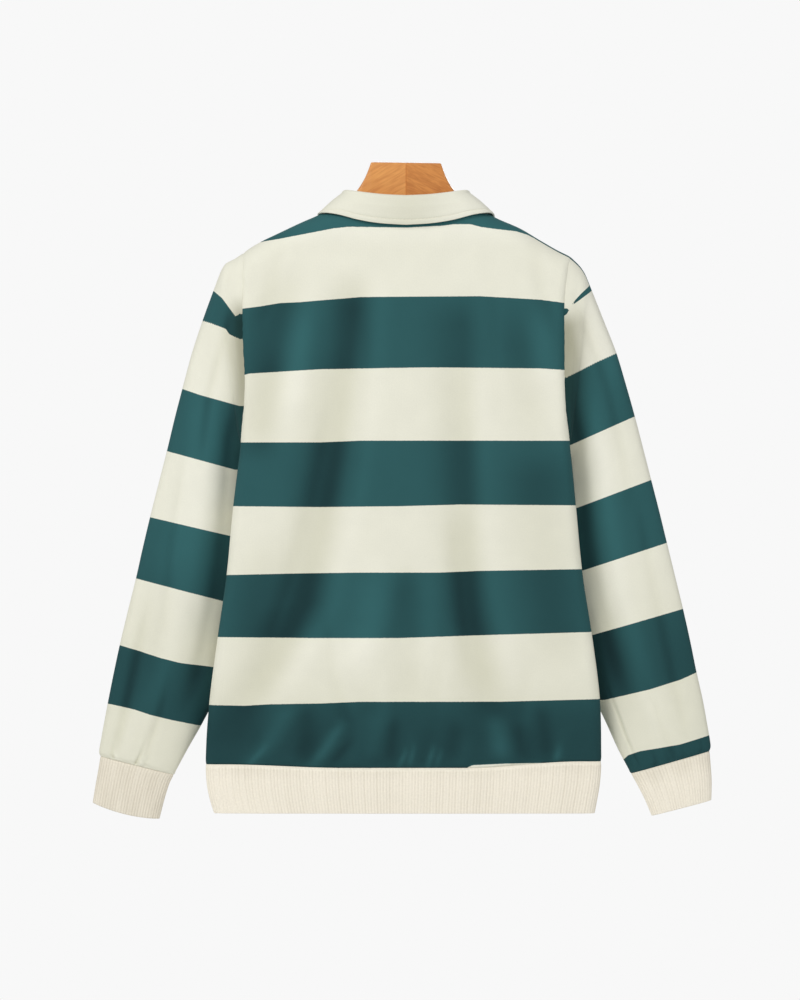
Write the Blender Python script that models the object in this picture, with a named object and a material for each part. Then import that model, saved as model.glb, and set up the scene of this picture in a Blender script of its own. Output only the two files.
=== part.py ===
# Rugby shirt on a wooden hanger, made as sewn cloth pieces and one wooden hanger.
# The back of the shirt faces -Y, left and right are the wearer's, and +Z is up.
# The origin is the middle of the flat top of the hanger's neck.
# The tables below hold millimetres, and MM turns them into metres.
import math

import bmesh
import bpy
import numpy as np

MM = 0.001
CLOTH = 2.0
RIB_CLOTH = 2.4
COLLAR_CLOTH = 2.2
SEAM_GAP = 0.3

# Body: outline seen from behind, as x of the left and right edge by height below the origin.
BODY_EDGES = [
    # down, left, right
    (40, -196.0, 198.5),
    (110, -196.0, 198.0),
    (135, -195.8, 193.0),
    (170, -195.5, 189.3),
    (210, -194.7, 189.0),
    (251, -192.6, 189.0),
    (303, -193.4, 190.6),
    (335, -195.0, 193.2),
    (362, -198.2, 196.0),
    (405, -203.5, 200.0),
    (486, -211.3, 208.0),
    (559, -221.8, 219.3),
    (639, -232.0, 228.8),
    (690, -235.6, 230.0),
    (713, -236.0, 230.0),
    (735, -234.5, 228.0),
    (752, -231.0, 225.0),
    (768, -226.0, 222.0),
]
# Body: half depth, and how far the middle lies from the hanger's plane, by height below the origin.
BODY_DEPTH = [
    # down, half depth, middle
    (40, 24.0, 0.0),
    (110, 26.0, -1.0),
    (170, 32.0, -2.0),
    (260, 38.0, -2.0),
    (360, 40.0, -1.0),
    (480, 38.0, 1.0),
    (600, 34.0, 2.0),
    (690, 29.5, 3.0),
    (713, 27.5, 3.0),
    (740, 28.0, 3.0),
    (768, 26.0, 3.0),
]
# Shoulders: height of the crest by x, and the two necklines inside NECK_HALF.
CREST = [
    # x, z
    (-200, -113.5),
    (-196, -110.0),
    (-186, -102.0),
    (-175, -95.2),
    (-149, -82.4),
    (-125, -71.0),
    (-103, -61.4),
    (-80, -50.0),
    (-40, -29.0),
    (0, -22.0),
    (40, -29.0),
    (80, -50.0),
    (106, -65.0),
    (134, -77.6),
    (158, -91.6),
    (182, -105.6),
    (190, -110.6),
    (196, -114.4),
    (201, -119.0),
]
SHOULDER_LEFT = 196.0
SHOULDER_RIGHT = 198.0
SHOULDER_MEAN = 197.0
NECK_HALF = 79.0
BACK_NECK_DROP = 16.0
FRONT_NECK_DROP = 76.0
BACK_NECK_CURVE = 0.9
FRONT_NECK_CURVE = 1.1
SHOULDER_ROUND = 24.0
# Rows of a panel follow the crest at the top and are level from LEVEL_DROP down, at TIP_Z below the tips.
LEVEL_DROP = 230.0
TIP_Z = -114.0
TIP_TILT = 4.0
TIP_TILT_DROP = 300.0
# Section of the body: mean half width and half depth, corner radius, and how far the back is domed.
SECTION_WIDTH = 200.0
SECTION_DEPTH = 36.0
SECTION_CORNER = 14.0
SECTION_DOME = 0.18
SECTION_DOME_CURVE = 2.4
# How far the side of the body slants in from the back's edge to the front, from FORMED_DROP down.
SIDE_SLANT = 44.0
FORMED_DROP = 110.0
ARMHOLE_DROP = 232.0
ARMHOLE_REACH = 0.115
ARMHOLE_ROUND = 80.0
ARMHOLE_GAP = 0.7
HEM_SEAM_DROP = 599.0
HEM_DROP = 653.0
# Hem seam: how far it rises at the two sides.
HEM_RISE_LEFT = 4.0
HEM_RISE_RIGHT = 7.5
HEM_RISE_FROM_X = 60.0
HEM_RISE_OVER_X = 115.0
HEM_RISE_FROM_DROP = 430.0
HEM_RISE_OVER_DROP = 160.0
HEM_SEAM_DOWN = 713.0
HEM_MIDDLE_ROW = 22.0
# Only the columns near the side are drawn in beside the armhole: the higher, the fewer.
EDGE_KEEP = 8
# Rows of the panels: distance down from the shoulder crest. The sleeves' columns start on the same rows.
ARMHOLE_ROWS = [0, 2.5, 9, 20, 42, 70, 100, 130, 160, 186, 206, 221, 229.5, 232]
PANEL_ROWS = ARMHOLE_ROWS + [254, 290, 332, 376, 420, 464, 508, 546, 578, 599]
# Columns of the panels: x inside the neckline, which the collar shares, and then places out to the side.
NECK_COLUMNS = [0, 12, 30, 48, 62, 72, 77.5, 79]
SIDE_COLUMNS = [0.47, 0.585, 0.69, 0.78, 0.85, 0.905, 0.955, 1.0]

# A fold fades in and out over this length to each side of its ends.
FOLD_FADE = 30.0
# Large folds of the back: x by height down, width and depth of a trough (a ridge is negative).
BACK_FOLDS = [
    # points (down, x), half width, depth
    ([(140, -146), (200, -155), (265, -168), (335, -183)], 24, 3.6),
    ([(145, -68), (215, -72), (285, -80), (350, -88), (400, -97), (450, -109), (520, -124), (560, -145),
      (600, -168), (640, -190), (690, -212)], 26, 6.0),
    ([(165, 58), (235, 60), (350, 65), (420, 68), (540, 76), (580, 84), (640, 99), (690, 108)], 24, 4.2),
    ([(190, 128), (250, 138), (320, 148)], 20, 2.2),
    ([(480, -4), (560, 0), (640, 2)], 20, 2.2),
    ([(180, -124), (240, -130), (300, -140)], 18, -2.2),
    ([(480, -30), (540, -40), (600, -62)], 20, -2.4),
    ([(180, 160), (260, 164)], 18, -2.0),
]
FRONT_FOLDS = [
    ([(170, 150), (240, 156), (330, 168)], 24, 3.4),
    ([(210, 84), (300, 92), (400, 104), (500, 122), (600, 150), (680, 176)], 26, 5.2),
    ([(190, -92), (300, -96), (420, -100), (540, -108), (690, -126)], 24, 4.4),
    ([(400, 6), (500, 2), (640, -8)], 24, 3.0),
    ([(170, -140), (250, -148), (320, -156)], 20, 2.6),
]
# Short gathers that fan up from the hem seam: x at the seam, x at the top, height, half width, depth.
HEM_GATHERS = [
    (-176, -172, 44, 10, 1.8),
    (-136, -118, 60, 9, -1.6),
    (-112, -104, 50, 9, 2.0),
    (-62, -50, 60, 9, -1.6),
    (-34, -26, 40, 8, 1.6),
    (4, 8, 48, 9, -1.4),
    (22, 30, 52, 9, 1.6),
    (66, 76, 40, 9, -1.4),
    (118, 112, 40, 12, -2.0),
    (150, 146, 44, 9, 1.8),
    (182, 184, 38, 9, -1.6),
]

# Sleeves, ring by ring from the armhole to the cuff's end, with magnitudes of x (both sides are written
# as positive and the side gives the sign).
SLEEVE_LEFT = [
    # ring, outer x, outer z, inner x, inner z, outer y, inner y, half depth, blend from the armhole, swell
    (0, 196.0, -110.0, 184.0, -346.0, 0.0, 0.0, 21.0, 0.00, 0.0),
    (1, 209.5, -117.0, 185.0, -349.0, 0.0, 4.0, 23.5, 0.22, 20.0),
    (2, 217.0, -124.5, 184.5, -352.0, 0.0, 7.0, 23.5, 0.42, 17.0),
    (3, 223.5, -136.5, 184.0, -355.0, 0.5, 10.0, 22.5, 0.60, 14.0),
    (4, 230.0, -151.0, 183.0, -358.0, 1.0, 13.0, 22.0, 0.74, 11.0),
    (5, 241.5, -185.5, 182.0, -361.5, 1.5, 16.0, 21.5, 0.90, 9.5),
    (6, 253.5, -227.0, 181.0, -366.0, 2.0, 18.0, 21.0, 1.00, 8.0),
    (7, 264.3, -267.5, 180.0, -371.0, 2.5, 20.0, 20.5, 1.00, 6.5),
    (8, 273.5, -303.0, 179.5, -377.0, 3.0, 22.0, 20.0, 1.00, 5.0),
    (9, 282.3, -340.0, 179.5, -386.0, 3.0, 24.0, 19.5, 1.00, 3.5),
    (10, 292.3, -379.0, 181.0, -414.0, 3.5, 25.0, 19.0, 1.00, 2.0),
    (11, 302.2, -418.0, 184.0, -449.0, 4.0, 25.5, 18.5, 1.00, 1.0),
    (12, 311.0, -455.0, 189.0, -486.0, 4.0, 26.0, 18.0, 1.00, 0.0),
    (13, 318.8, -490.0, 194.5, -520.0, 4.0, 26.0, 17.5, 1.00, 0.0),
    (14, 328.7, -530.0, 204.0, -560.0, 4.0, 25.0, 17.0, 1.00, 0.0),
    (15, 338.0, -569.0, 214.5, -600.0, 4.0, 23.0, 17.0, 1.00, 0.0),
    (16, 345.5, -604.0, 226.5, -633.0, 4.0, 20.0, 16.5, 1.00, 0.0),
    (17, 352.2, -638.0, 240.5, -661.0, 4.0, 16.0, 16.0, 1.00, 0.0),
    (18, 358.5, -672.0, 257.0, -690.0, 4.0, 11.0, 15.5, 1.00, 0.0),
    (19, 362.0, -693.0, 270.0, -714.0, 4.0, 7.0, 14.0, 1.00, 0.0),
    (20, 361.0, -700.0, 274.0, -722.0, 4.0, 6.0, 11.5, 1.00, 0.0),
    (21, 362.8, -713.0, 279.5, -733.0, 4.0, 6.0, 12.5, 1.00, 0.0),
    (22, 366.5, -733.0, 285.5, -752.0, 4.0, 6.0, 12.5, 1.00, 0.0),
    (23, 370.0, -754.0, 291.0, -773.0, 4.0, 6.0, 11.0, 1.00, 0.0),
]
SLEEVE_RIGHT = [
    (0, 198.0, -118.0, 182.0, -349.0, 0.0, 0.0, 21.0, 0.00, 0.0),
    (1, 205.5, -122.5, 183.0, -352.0, 0.0, 4.0, 23.5, 0.22, 20.0),
    (2, 212.5, -130.5, 182.5, -355.0, 0.0, 7.0, 23.5, 0.42, 17.0),
    (3, 217.5, -141.5, 182.0, -358.0, 0.5, 10.0, 22.5, 0.60, 14.0),
    (4, 222.6, -152.5, 181.0, -361.0, 1.0, 13.0, 22.0, 0.74, 11.0),
    (5, 238.0, -195.0, 180.0, -364.5, 1.5, 16.0, 21.5, 0.90, 9.5),
    (6, 249.0, -226.0, 179.0, -369.0, 2.0, 18.0, 21.0, 1.00, 8.0),
    (7, 260.0, -263.0, 178.0, -374.0, 2.5, 20.0, 20.5, 1.00, 6.5),
    (8, 270.0, -298.5, 177.5, -380.0, 3.0, 22.0, 20.0, 1.00, 5.0),
    (9, 280.0, -337.0, 177.5, -389.0, 3.0, 24.0, 19.5, 1.00, 3.5),
    (10, 289.5, -374.0, 179.0, -417.0, 3.5, 25.0, 19.0, 1.00, 2.0),
    (11, 299.0, -411.0, 182.0, -452.0, 4.0, 25.5, 18.5, 1.00, 1.0),
    (12, 308.0, -448.0, 187.0, -489.0, 4.0, 26.0, 18.0, 1.00, 0.0),
    (13, 317.5, -487.0, 191.5, -520.0, 4.0, 26.0, 17.5, 1.00, 0.0),
    (14, 327.0, -526.0, 201.0, -558.0, 4.0, 25.0, 17.0, 1.00, 0.0),
    (15, 335.5, -564.0, 211.5, -596.0, 4.0, 23.0, 17.0, 1.00, 0.0),
    (16, 343.0, -601.0, 222.5, -631.0, 4.0, 20.0, 16.5, 1.00, 0.0),
    (17, 350.0, -632.0, 236.0, -660.0, 4.0, 16.0, 16.0, 1.00, 0.0),
    (18, 355.5, -662.0, 250.0, -691.0, 4.0, 11.0, 15.5, 1.00, 0.0),
    (19, 359.5, -686.0, 261.5, -713.0, 4.0, 7.0, 14.0, 1.00, 0.0),
    (20, 358.5, -694.0, 265.5, -720.5, 4.0, 6.0, 11.5, 1.00, 0.0),
    (21, 359.5, -707.0, 271.5, -731.0, 4.0, 6.0, 12.5, 1.00, 0.0),
    (22, 361.0, -729.0, 281.5, -750.0, 4.0, 6.0, 12.5, 1.00, 0.0),
    (23, 360.5, -751.0, 290.0, -769.5, 4.0, 6.0, 11.0, 1.00, 0.0),
]
CUFF_RING = 20
CUFF_SEAM_RINGS = 0.045
CUFF_MIDDLE_RINGS = 1.2
CUFF_RINGS = 3.0
SLEEVE_RINGS = [0, 1, 2, 3, 4.5, 6, 7.5, 9, 10.5, 12, 13.5, 15, 16.5, 18, 19.3, CUFF_RING]
# Section of a sleeve: mean half width and half depth, and how square it is.
SLEEVE_SECTION = (56.0, 19.0, 2.3)
RIBS_ROUND_HEM = 280
RIBS_ROUND_CUFF = 56
RIB_HIGH = 0.8
RIB_INNER_EVERY = 4

# Collar: middle of its cloth along the fold and along the outer edge, from centre back to the front end.
COLLAR = [
    # along, fold x, fold y, fold z, edge x, edge y, edge z
    (0.00, 0.0, -30.0, -40.1, 0.0, -29.5, -74.0),
    (0.12, 26.0, -29.5, -38.9, 31.0, -29.5, -72.0),
    (0.24, 48.0, -26.0, -36.4, 58.0, -28.5, -67.5),
    (0.34, 62.0, -20.5, -34.4, 81.0, -25.0, -61.5),
    (0.42, 69.5, -12.5, -33.2, 97.0, -15.0, -56.0),
    (0.50, 72.5, 0.0, -34.2, 103.5, 0.0, -57.5),
    (0.55, 71.8, 9.0, -37.6, 104.4, 11.0, -63.3),
    (0.61, 67.7, 18.0, -45.0, 102.5, 23.5, -75.5),
    (0.686, 59.0, 24.0, -58.5, 96.5, 32.5, -96.5),
    (0.77, 46.0, 28.0, -76.0, 86.0, 38.5, -122.0),
    (0.88, 25.0, 32.0, -97.0, 70.0, 41.5, -154.0),
    (1.00, 5.5, 34.5, -112.0, 50.0, 43.0, -184.0),
]
# Stations of the collar: how far along, and the x of the neckline's point that it is sewn to.
COLLAR_STATIONS = [
    (0.00, 0.0),
    (0.063, 12.0),
    (0.159, 30.0),
    (0.256, 48.0),
    (0.333, 62.0),
    (0.395, 72.0),
    (0.449, 77.5),
    (0.50, 79.0),
    (0.53, 78.1),
    (0.55, 77.5),
    (0.58, 75.3),
    (0.61, 72.0),
    (0.646, 67.5),
    (0.686, 62.0),
    (0.783, 48.0),
    (0.887, 30.0),
    (0.971, 12.0),
    (1.00, 5.0),
]
FOLD_RADIUS = 2.7
COLLAR_CLEAR = 3.4
COLLAR_SEAM = 1.0
# Rows of the fall below the fold: share of the way to the outer edge, and how far it bellies out.
COLLAR_FALL = [(0.35, 1.5), (0.7, 1.2), (1.0, 0.0)]

# Placket on the front, with three buttons.
PLACKET_HALF = 17.0
PLACKET_FOOT_ROW = 8
PLACKET_START = 4.0
PLACKET_FOOT = 6.0
PLACKET_LIFT = 0.45
PLACKET_CLOTH = 1.4
BUTTON_STEPS = 12
# Half section of a button, from the middle of its back round the rim to the middle of its face.
BUTTON_PROFILE = [
    # radius, height
    (0.0, 0.0),
    (7.3, 0.0),
    (8.5, 1.2),
    (8.5, 2.4),
    (7.7, 3.2),
    (6.1, 3.2),
    (5.3, 2.2),
    (0.0, 2.2),
]
BUTTONS = [("button_top", -148.0), ("button_middle", -196.0), ("button_low", -244.0)]

# Hanger, station by station from the middle outwards: x, top z, bottom z, half depth, corner.
HANGER = [
    (0.0, 0.0, -66.0, 12.0, 3.0),
    (40.6, 0.0, -64.0, 12.0, 3.0),
    (41.6, -1.2, -64.0, 12.0, 3.0),
    (44.0, -8.0, -64.0, 12.0, 3.2),
    (48.0, -17.5, -64.5, 12.0, 4.0),
    (53.0, -26.5, -65.5, 12.0, 5.0),
    (59.0, -35.5, -67.0, 11.5, 5.5),
    (67.0, -51.0, -73.0, 11.0, 6.5),
    (80.0, -57.5, -80.0, 12.0, 9.5),
    (106.0, -69.0, -93.5, 13.5, 10.5),
    (134.0, -81.6, -108.0, 14.5, 11.5),
    (160.0, -94.3, -122.5, 14.5, 12.0),
    (178.0, -106.2, -134.0, 12.5, 11.0),
    (188.0, -114.9, -139.0, 10.5, 9.5),
    (194.0, -123.5, -139.5, 6.5, 5.5),
]
# The hanger hangs a little lower at its right end, so both shoulders rest on it.
HANGER_TILT = 0.0145


def new_collection(name):
    collection = bpy.data.collections.new(name)
    bpy.context.scene.collection.children.link(collection)
    return collection


def new_material(name, color, roughness):
    material = bpy.data.materials.new(name)
    material.use_nodes = True
    shader = material.node_tree.nodes["Principled BSDF"]
    shader.inputs["Base Color"].default_value = (*color, 1.0)
    shader.inputs["Roughness"].default_value = roughness
    return material


def through(table, at, column):
    """A smooth curve through one column of a table, by the table's first column."""
    keys = np.array([row[0] for row in table], float)
    values = np.array([row[column] for row in table], float)
    slopes = np.gradient(values, keys)
    i = np.clip(np.searchsorted(keys, at) - 1, 0, len(keys) - 2)
    step = keys[i + 1] - keys[i]
    t = np.clip((at - keys[i]) / step, 0.0, 1.0)
    start = values[i] * (2 * t**3 - 3 * t**2 + 1) + slopes[i] * step * (t**3 - 2 * t**2 + t)
    end = values[i + 1] * (3 * t**2 - 2 * t**3) + slopes[i + 1] * step * (t**3 - t**2)
    return start + end


def smooth_step(t):
    t = np.clip(t, 0.0, 1.0)
    return t * t * (3 - 2 * t)


def even_steps(across, deep, half_width, half_depth):
    """Places from 0 to 1 along a quarter of a section, with its two unit coordinates."""
    steps = np.hypot(np.diff(across) * half_width, np.diff(deep) * half_depth)
    length = np.concatenate([[0.0], np.cumsum(steps)])
    return length / length[-1], across, deep


def body_quarter(half_width, half_depth, corner, dome):
    """A slightly domed back, a round corner and a flat side, as unit coordinates."""
    start = 1 - corner / half_width
    flat = np.linspace(0.0, start, 120)
    turn = np.linspace(0.0, math.pi / 2, 60)[1:]
    arc_across = start + corner / half_width * np.sin(turn)
    arc_deep = 1 - dome - corner / half_depth * (1 - np.cos(turn))
    side = np.linspace(arc_deep[-1], 0.0, 20)[1:]
    across = np.concatenate([flat, arc_across, np.ones(len(side))])
    deep = np.concatenate([1 - dome * (flat / start) ** SECTION_DOME_CURVE, arc_deep, side])
    return even_steps(across, deep, half_width, half_depth)


def sleeve_quarter(half_width, half_depth, power):
    angle = np.linspace(0.0, math.pi / 2, 400)
    across = np.sin(angle) ** (2 / power)
    deep = np.cos(angle) ** (2 / power)
    return even_steps(across, deep, half_width, half_depth)


BODY_OVAL = body_quarter(SECTION_WIDTH, SECTION_DEPTH, SECTION_CORNER, SECTION_DOME)
SLEEVE_OVAL = sleeve_quarter(*SLEEVE_SECTION)


def place_of(x):
    """The place across a panel whose point lies x from the middle on the shoulder crest."""
    return np.sign(x) * np.interp(np.abs(x) / SHOULDER_MEAN, BODY_OVAL[1], BODY_OVAL[0])


def slant(face_depth):
    return np.clip((face_depth + 0.6) / 1.6, 0.0, 1.0) ** 1.1


def side_reach():
    """How far the outermost point of the back's round corner falls short of the edge."""
    across = BODY_OVAL[1]
    return 1.0 / np.max(across - SIDE_SLANT / SHOULDER_LEFT * slant(-BODY_OVAL[2]) * across**3)


SIDE_GROW = side_reach()


def fold_depth(folds, x, down):
    """Sum of the troughs at each point: round across the fold, and fading out at its two ends."""
    total = np.zeros_like(x)
    for points, half_width, depth in folds:
        keys = np.array([p[0] for p in points], float)
        centre = np.interp(down, keys, [p[1] for p in points])
        start = smooth_step((down - keys[0] + FOLD_FADE) / (2 * FOLD_FADE))
        end = smooth_step((keys[-1] - down + FOLD_FADE) / (2 * FOLD_FADE))
        total += depth * start * end * np.exp(-(((x - centre) / half_width) ** 2))
    return total


def gather_depth(x, down, level):
    """Short folds that start at the hem seam and run out upwards."""
    total = np.zeros_like(x)
    for foot, head, height, half_width, depth in HEM_GATHERS:
        up = np.clip((level - down) / height, -1.0, 1.5)
        centre = foot + (head - foot) * up
        fade = smooth_step((1.2 - up) / 0.7) * smooth_step(up * 7)
        total += depth * fade * np.exp(-(((x - centre) / half_width) ** 2))
    return total


def hem_lift(x):
    rise = np.where(x < 0, HEM_RISE_LEFT, HEM_RISE_RIGHT)
    return rise * smooth_step((np.abs(x) - HEM_RISE_FROM_X) / HEM_RISE_OVER_X)


def body_point(face, place, drop, folds=True):
    """A point of the body's outer surface.

    face is -1 for the back and 1 for the front, place runs from -1 at the left side seam to 1 at the
    right one, and drop is the distance down from the shoulder crest.
    """
    place = np.asarray(place, float)
    drop = np.asarray(drop, float) + 0 * place
    place = place + 0 * drop
    turn = np.abs(place)
    over = turn > 1
    turn = np.where(over, 2 - turn, turn)
    across = np.interp(turn, BODY_OVAL[0], BODY_OVAL[1])
    deep = np.interp(turn, BODY_OVAL[0], BODY_OVAL[2]) * np.where(over, -1, 1)
    side = np.where(place < 0, -1.0, 1.0)
    crest_x = side * across * np.where(side < 0, SHOULDER_LEFT, SHOULDER_RIGHT)
    crest_z = through(CREST, crest_x, 1)
    neck = np.clip(1 - (np.abs(crest_x) / NECK_HALF) ** 2, 0, 1)
    rim_z = np.minimum(crest_z, through(CREST, side * NECK_HALF, 1))
    neck_drop = BACK_NECK_DROP if face < 0 else FRONT_NECK_DROP
    neck_curve = BACK_NECK_CURVE if face < 0 else FRONT_NECK_CURVE
    start_z = np.where(neck > 0, rim_z - neck_drop * neck**neck_curve, crest_z)
    level = smooth_step(drop / LEVEL_DROP)
    tip_z = TIP_Z - TIP_TILT * crest_x / SHOULDER_LEFT * (1 - smooth_step(drop / TIP_TILT_DROP))
    z = start_z * (1 - level) + tip_z * level - drop
    z = z + hem_lift(crest_x) * smooth_step((drop - HEM_RISE_FROM_DROP) / HEM_RISE_OVER_DROP)
    edge = np.where(side < 0, -through(BODY_EDGES, -z, 1), through(BODY_EDGES, -z, 2))
    face_depth = face * deep
    formed = smooth_step(drop / FORMED_DROP)
    x = across * edge - formed * SIDE_SLANT * slant(face_depth) * across**3
    x = side * x * (1 + (SIDE_GROW - 1) * formed)
    below = np.clip((crest_z - z) / SHOULDER_ROUND, 0, 1)
    half_depth = through(BODY_DEPTH, -z, 1)
    y = through(BODY_DEPTH, -z, 2) + half_depth * face_depth * np.sqrt(1 - (1 - below) ** 2)
    if folds:
        sunk = fold_depth(BACK_FOLDS if face < 0 else FRONT_FOLDS, x, -z)
        level_down = HEM_SEAM_DOWN - hem_lift(crest_x)
        sunk = sunk + gather_depth(x if face < 0 else -x, -z, level_down)
        y = y - face * sunk * np.clip(face_depth * face, 0, 1) ** 1.5
    return np.stack([x, y, z], axis=-1)


def body_normal(face, place, drop):
    """The direction out of the body's surface, from points close by."""
    drop = np.asarray(drop, float)
    step = np.where(drop < 0.6, 0.0005, 0.6)
    low = np.maximum(drop - step, 0.0)
    along = body_point(face, place + 0.004, drop) - body_point(face, place - 0.004, drop)
    down = body_point(face, place, drop + step) - body_point(face, place, low)
    normal = np.cross(along, down) * face
    return normal / np.linalg.norm(normal, axis=-1, keepdims=True)


def armhole_place(drop):
    """How far out the panel reaches: short of the side seam beside the armhole, and at it below."""
    turn = np.clip((drop - (ARMHOLE_DROP - ARMHOLE_ROUND)) / ARMHOLE_ROUND, 0, 1)
    return np.where(drop < ARMHOLE_DROP, 1 - ARMHOLE_REACH * np.sqrt(1 - turn**2), 1.0)


def seam_shift(face, place, drop):
    """Half the seam gap, away from the other panel."""
    near = np.clip((np.abs(place) - 0.9) * 20, 0, 1) * (drop >= ARMHOLE_DROP - 40)
    top = drop < 1.0
    return face * SEAM_GAP / 2 * np.maximum(near * 1.4, top)


def wall_object(name, outer, inner, around, keep, collection, material):
    """A closed wall between two grids of points; keep says which cells there are."""
    rows, columns = outer.shape[:2]
    mesh = bmesh.new()
    out = [[mesh.verts.new(outer[i, j] * MM) for j in range(columns)] for i in range(rows)]
    into = [[mesh.verts.new(inner[i, j] * MM) for j in range(columns)] for i in range(rows)]
    last = columns if around else columns - 1
    cells = set()
    for i in range(rows - 1):
        for j in range(last):
            if keep is None or keep[i][j]:
                cells.add((i, j))
    for i, j in sorted(cells):
        k = (j + 1) % columns
        mesh.faces.new((out[i][j], out[i][k], out[i + 1][k], out[i + 1][j]))
        mesh.faces.new((into[i + 1][j], into[i + 1][k], into[i][k], into[i][j]))
        before = (j - 1) % columns if around else j - 1
        after = (j + 1) % columns if around else j + 1
        if (i - 1, j) not in cells:
            mesh.faces.new((out[i][k], out[i][j], into[i][j], into[i][k]))
        if (i + 1, j) not in cells:
            mesh.faces.new((out[i + 1][j], out[i + 1][k], into[i + 1][k], into[i + 1][j]))
        if (i, before) not in cells:
            mesh.faces.new((out[i][j], out[i + 1][j], into[i + 1][j], into[i][j]))
        if (i, after) not in cells:
            mesh.faces.new((out[i + 1][k], out[i][k], into[i][k], into[i + 1][k]))
    return finished(name, mesh, collection, material)


def finished(name, mesh, collection, material):
    """An object from a mesh, with its faces turned outwards and shaded smooth."""
    loose = [v for v in mesh.verts if not v.link_faces]
    bmesh.ops.delete(mesh, geom=loose, context="VERTS")
    bmesh.ops.recalc_face_normals(mesh, faces=mesh.faces)
    data = bpy.data.meshes.new(name)
    mesh.to_mesh(data)
    mesh.free()
    made = bpy.data.objects.new(name, data)
    collection.objects.link(made)
    data.materials.append(material)
    data.shade_smooth()
    data.set_sharp_from_angle(angle=math.radians(50))
    return made


def panel_places():
    """Columns across a panel, from the left side seam to the right one."""
    half = np.concatenate([place_of(np.array(NECK_COLUMNS, float)), SIDE_COLUMNS])
    return np.concatenate([-half[:0:-1], half])


def panel(name, face, collection, material):
    columns = panel_places()
    drops = np.array(PANEL_ROWS, float)[:, None] + 0 * columns[None, :]
    places = columns[None, :] * (1 - (1 - armhole_place(drops)) * columns[None, :] ** EDGE_KEEP)
    outer = body_point(face, places, drops)
    inner = outer - CLOTH * body_normal(face, places, drops)
    shift = seam_shift(face, places, drops)
    outer[..., 1] += shift
    inner[..., 1] += shift
    keep = None
    if face > 0:
        open_cells = np.abs(columns[:-1] + columns[1:]) / 2 < place_of(NECK_COLUMNS[1])
        keep = [[not (i < PLACKET_FOOT_ROW and open_cells[j]) for j in range(len(columns) - 1)]
                for i in range(len(drops) - 1)]
    return wall_object(name, outer, inner, False, keep, collection, material)


def oval_turn(turn):
    """Unit coordinates round a sleeve: turn 0 outer, 1 back, 2 inner and 3 front."""
    turn = np.mod(turn, 4.0)
    quarter = np.floor(turn)
    part = turn - quarter
    odd = quarter % 2 == 1
    near = np.where(odd, part, 1 - part)
    across = np.interp(near, SLEEVE_OVAL[0], SLEEVE_OVAL[1])
    deep = np.interp(near, SLEEVE_OVAL[0], SLEEVE_OVAL[2])
    across = across * np.where((quarter == 0) | (quarter == 3), 1, -1)
    deep = deep * np.where(quarter < 2, -1, 1)
    return across, deep


def armhole_point(side, turn):
    """The armhole's edge at a turn round the sleeve, and the direction out of the panel there."""
    across, deep = oval_turn(turn)
    drop = ARMHOLE_DROP * (1 - across) / 2
    place = side * armhole_place(drop)
    back = np.mod(turn, 4.0) < 2
    point = np.where(back[..., None], body_point(-1, place, drop), body_point(1, place, drop))
    normal = np.where(back[..., None], body_normal(-1, place, drop), body_normal(1, place, drop))
    return point, normal


def past_armhole(side, turn):
    """The armhole's edge, carried on past the panel by the seam gap."""
    point, normal = armhole_point(side, turn)
    run = armhole_point(side, turn + 0.02)[0] - armhole_point(side, turn - 0.02)[0]
    past = side * np.cross(normal, run)
    return point + ARMHOLE_GAP * past / np.linalg.norm(past, axis=-1, keepdims=True)


def sleeve_point(side, ring, turn):
    """A point of a sleeve's outer surface."""
    table = SLEEVE_LEFT if side < 0 else SLEEVE_RIGHT
    across, deep = oval_turn(turn)
    share = (1 - across) / 2
    value = [through(table, ring, column) for column in range(1, 10)]
    x = side * (value[0] + (value[2] - value[0]) * share + value[8] * (1 - (2 * share - 1) ** 4))
    z = value[1] + (value[3] - value[1]) * share
    y = value[4] + (value[5] - value[4]) * share + value[6] * deep
    free = np.stack([x + 0 * turn, y + 0 * turn, z + 0 * turn], axis=-1)
    edge = past_armhole(side, turn)
    blend = np.clip(value[7], 0, 1)[..., None]
    return edge * (1 - blend) + free * blend


def grid_normals(points, outward):
    """Directions out of a grid that closes round its columns."""
    along = np.roll(points, -1, axis=1) - np.roll(points, 1, axis=1)
    down = np.gradient(points, axis=0)
    normal = np.cross(along, down) * outward
    return normal / np.linalg.norm(normal, axis=-1, keepdims=True)


def armhole_turns():
    """Turns round the sleeve whose points lie on the rows of the panels."""
    across = 1 - 2 * np.array(ARMHOLE_ROWS) / ARMHOLE_DROP
    near = np.interp(np.abs(across), SLEEVE_OVAL[1], SLEEVE_OVAL[0])
    half = np.where(across > 0, 1 - near, 1 + near)
    return np.concatenate([half, 4 - half[-2:0:-1]])


def sleeve_grid(side, rings, turns):
    turn = turns[None, :] + 0 * rings[:, None]
    ring = rings[:, None] + 0 * turn
    points = sleeve_point(side, ring, turn)
    return points, grid_normals(points, side)


def sleeve(name, side, collection, material):
    turns = armhole_turns()
    points, normals = sleeve_grid(side, np.array(SLEEVE_RINGS), turns)
    edge_normal = armhole_point(side, turns)[1]
    first = normals[0] + edge_normal
    normals[0] = first / np.linalg.norm(first, axis=-1, keepdims=True)
    inner = points - CLOTH * normals
    return wall_object(name, points, inner, True, None, collection, material)


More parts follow.
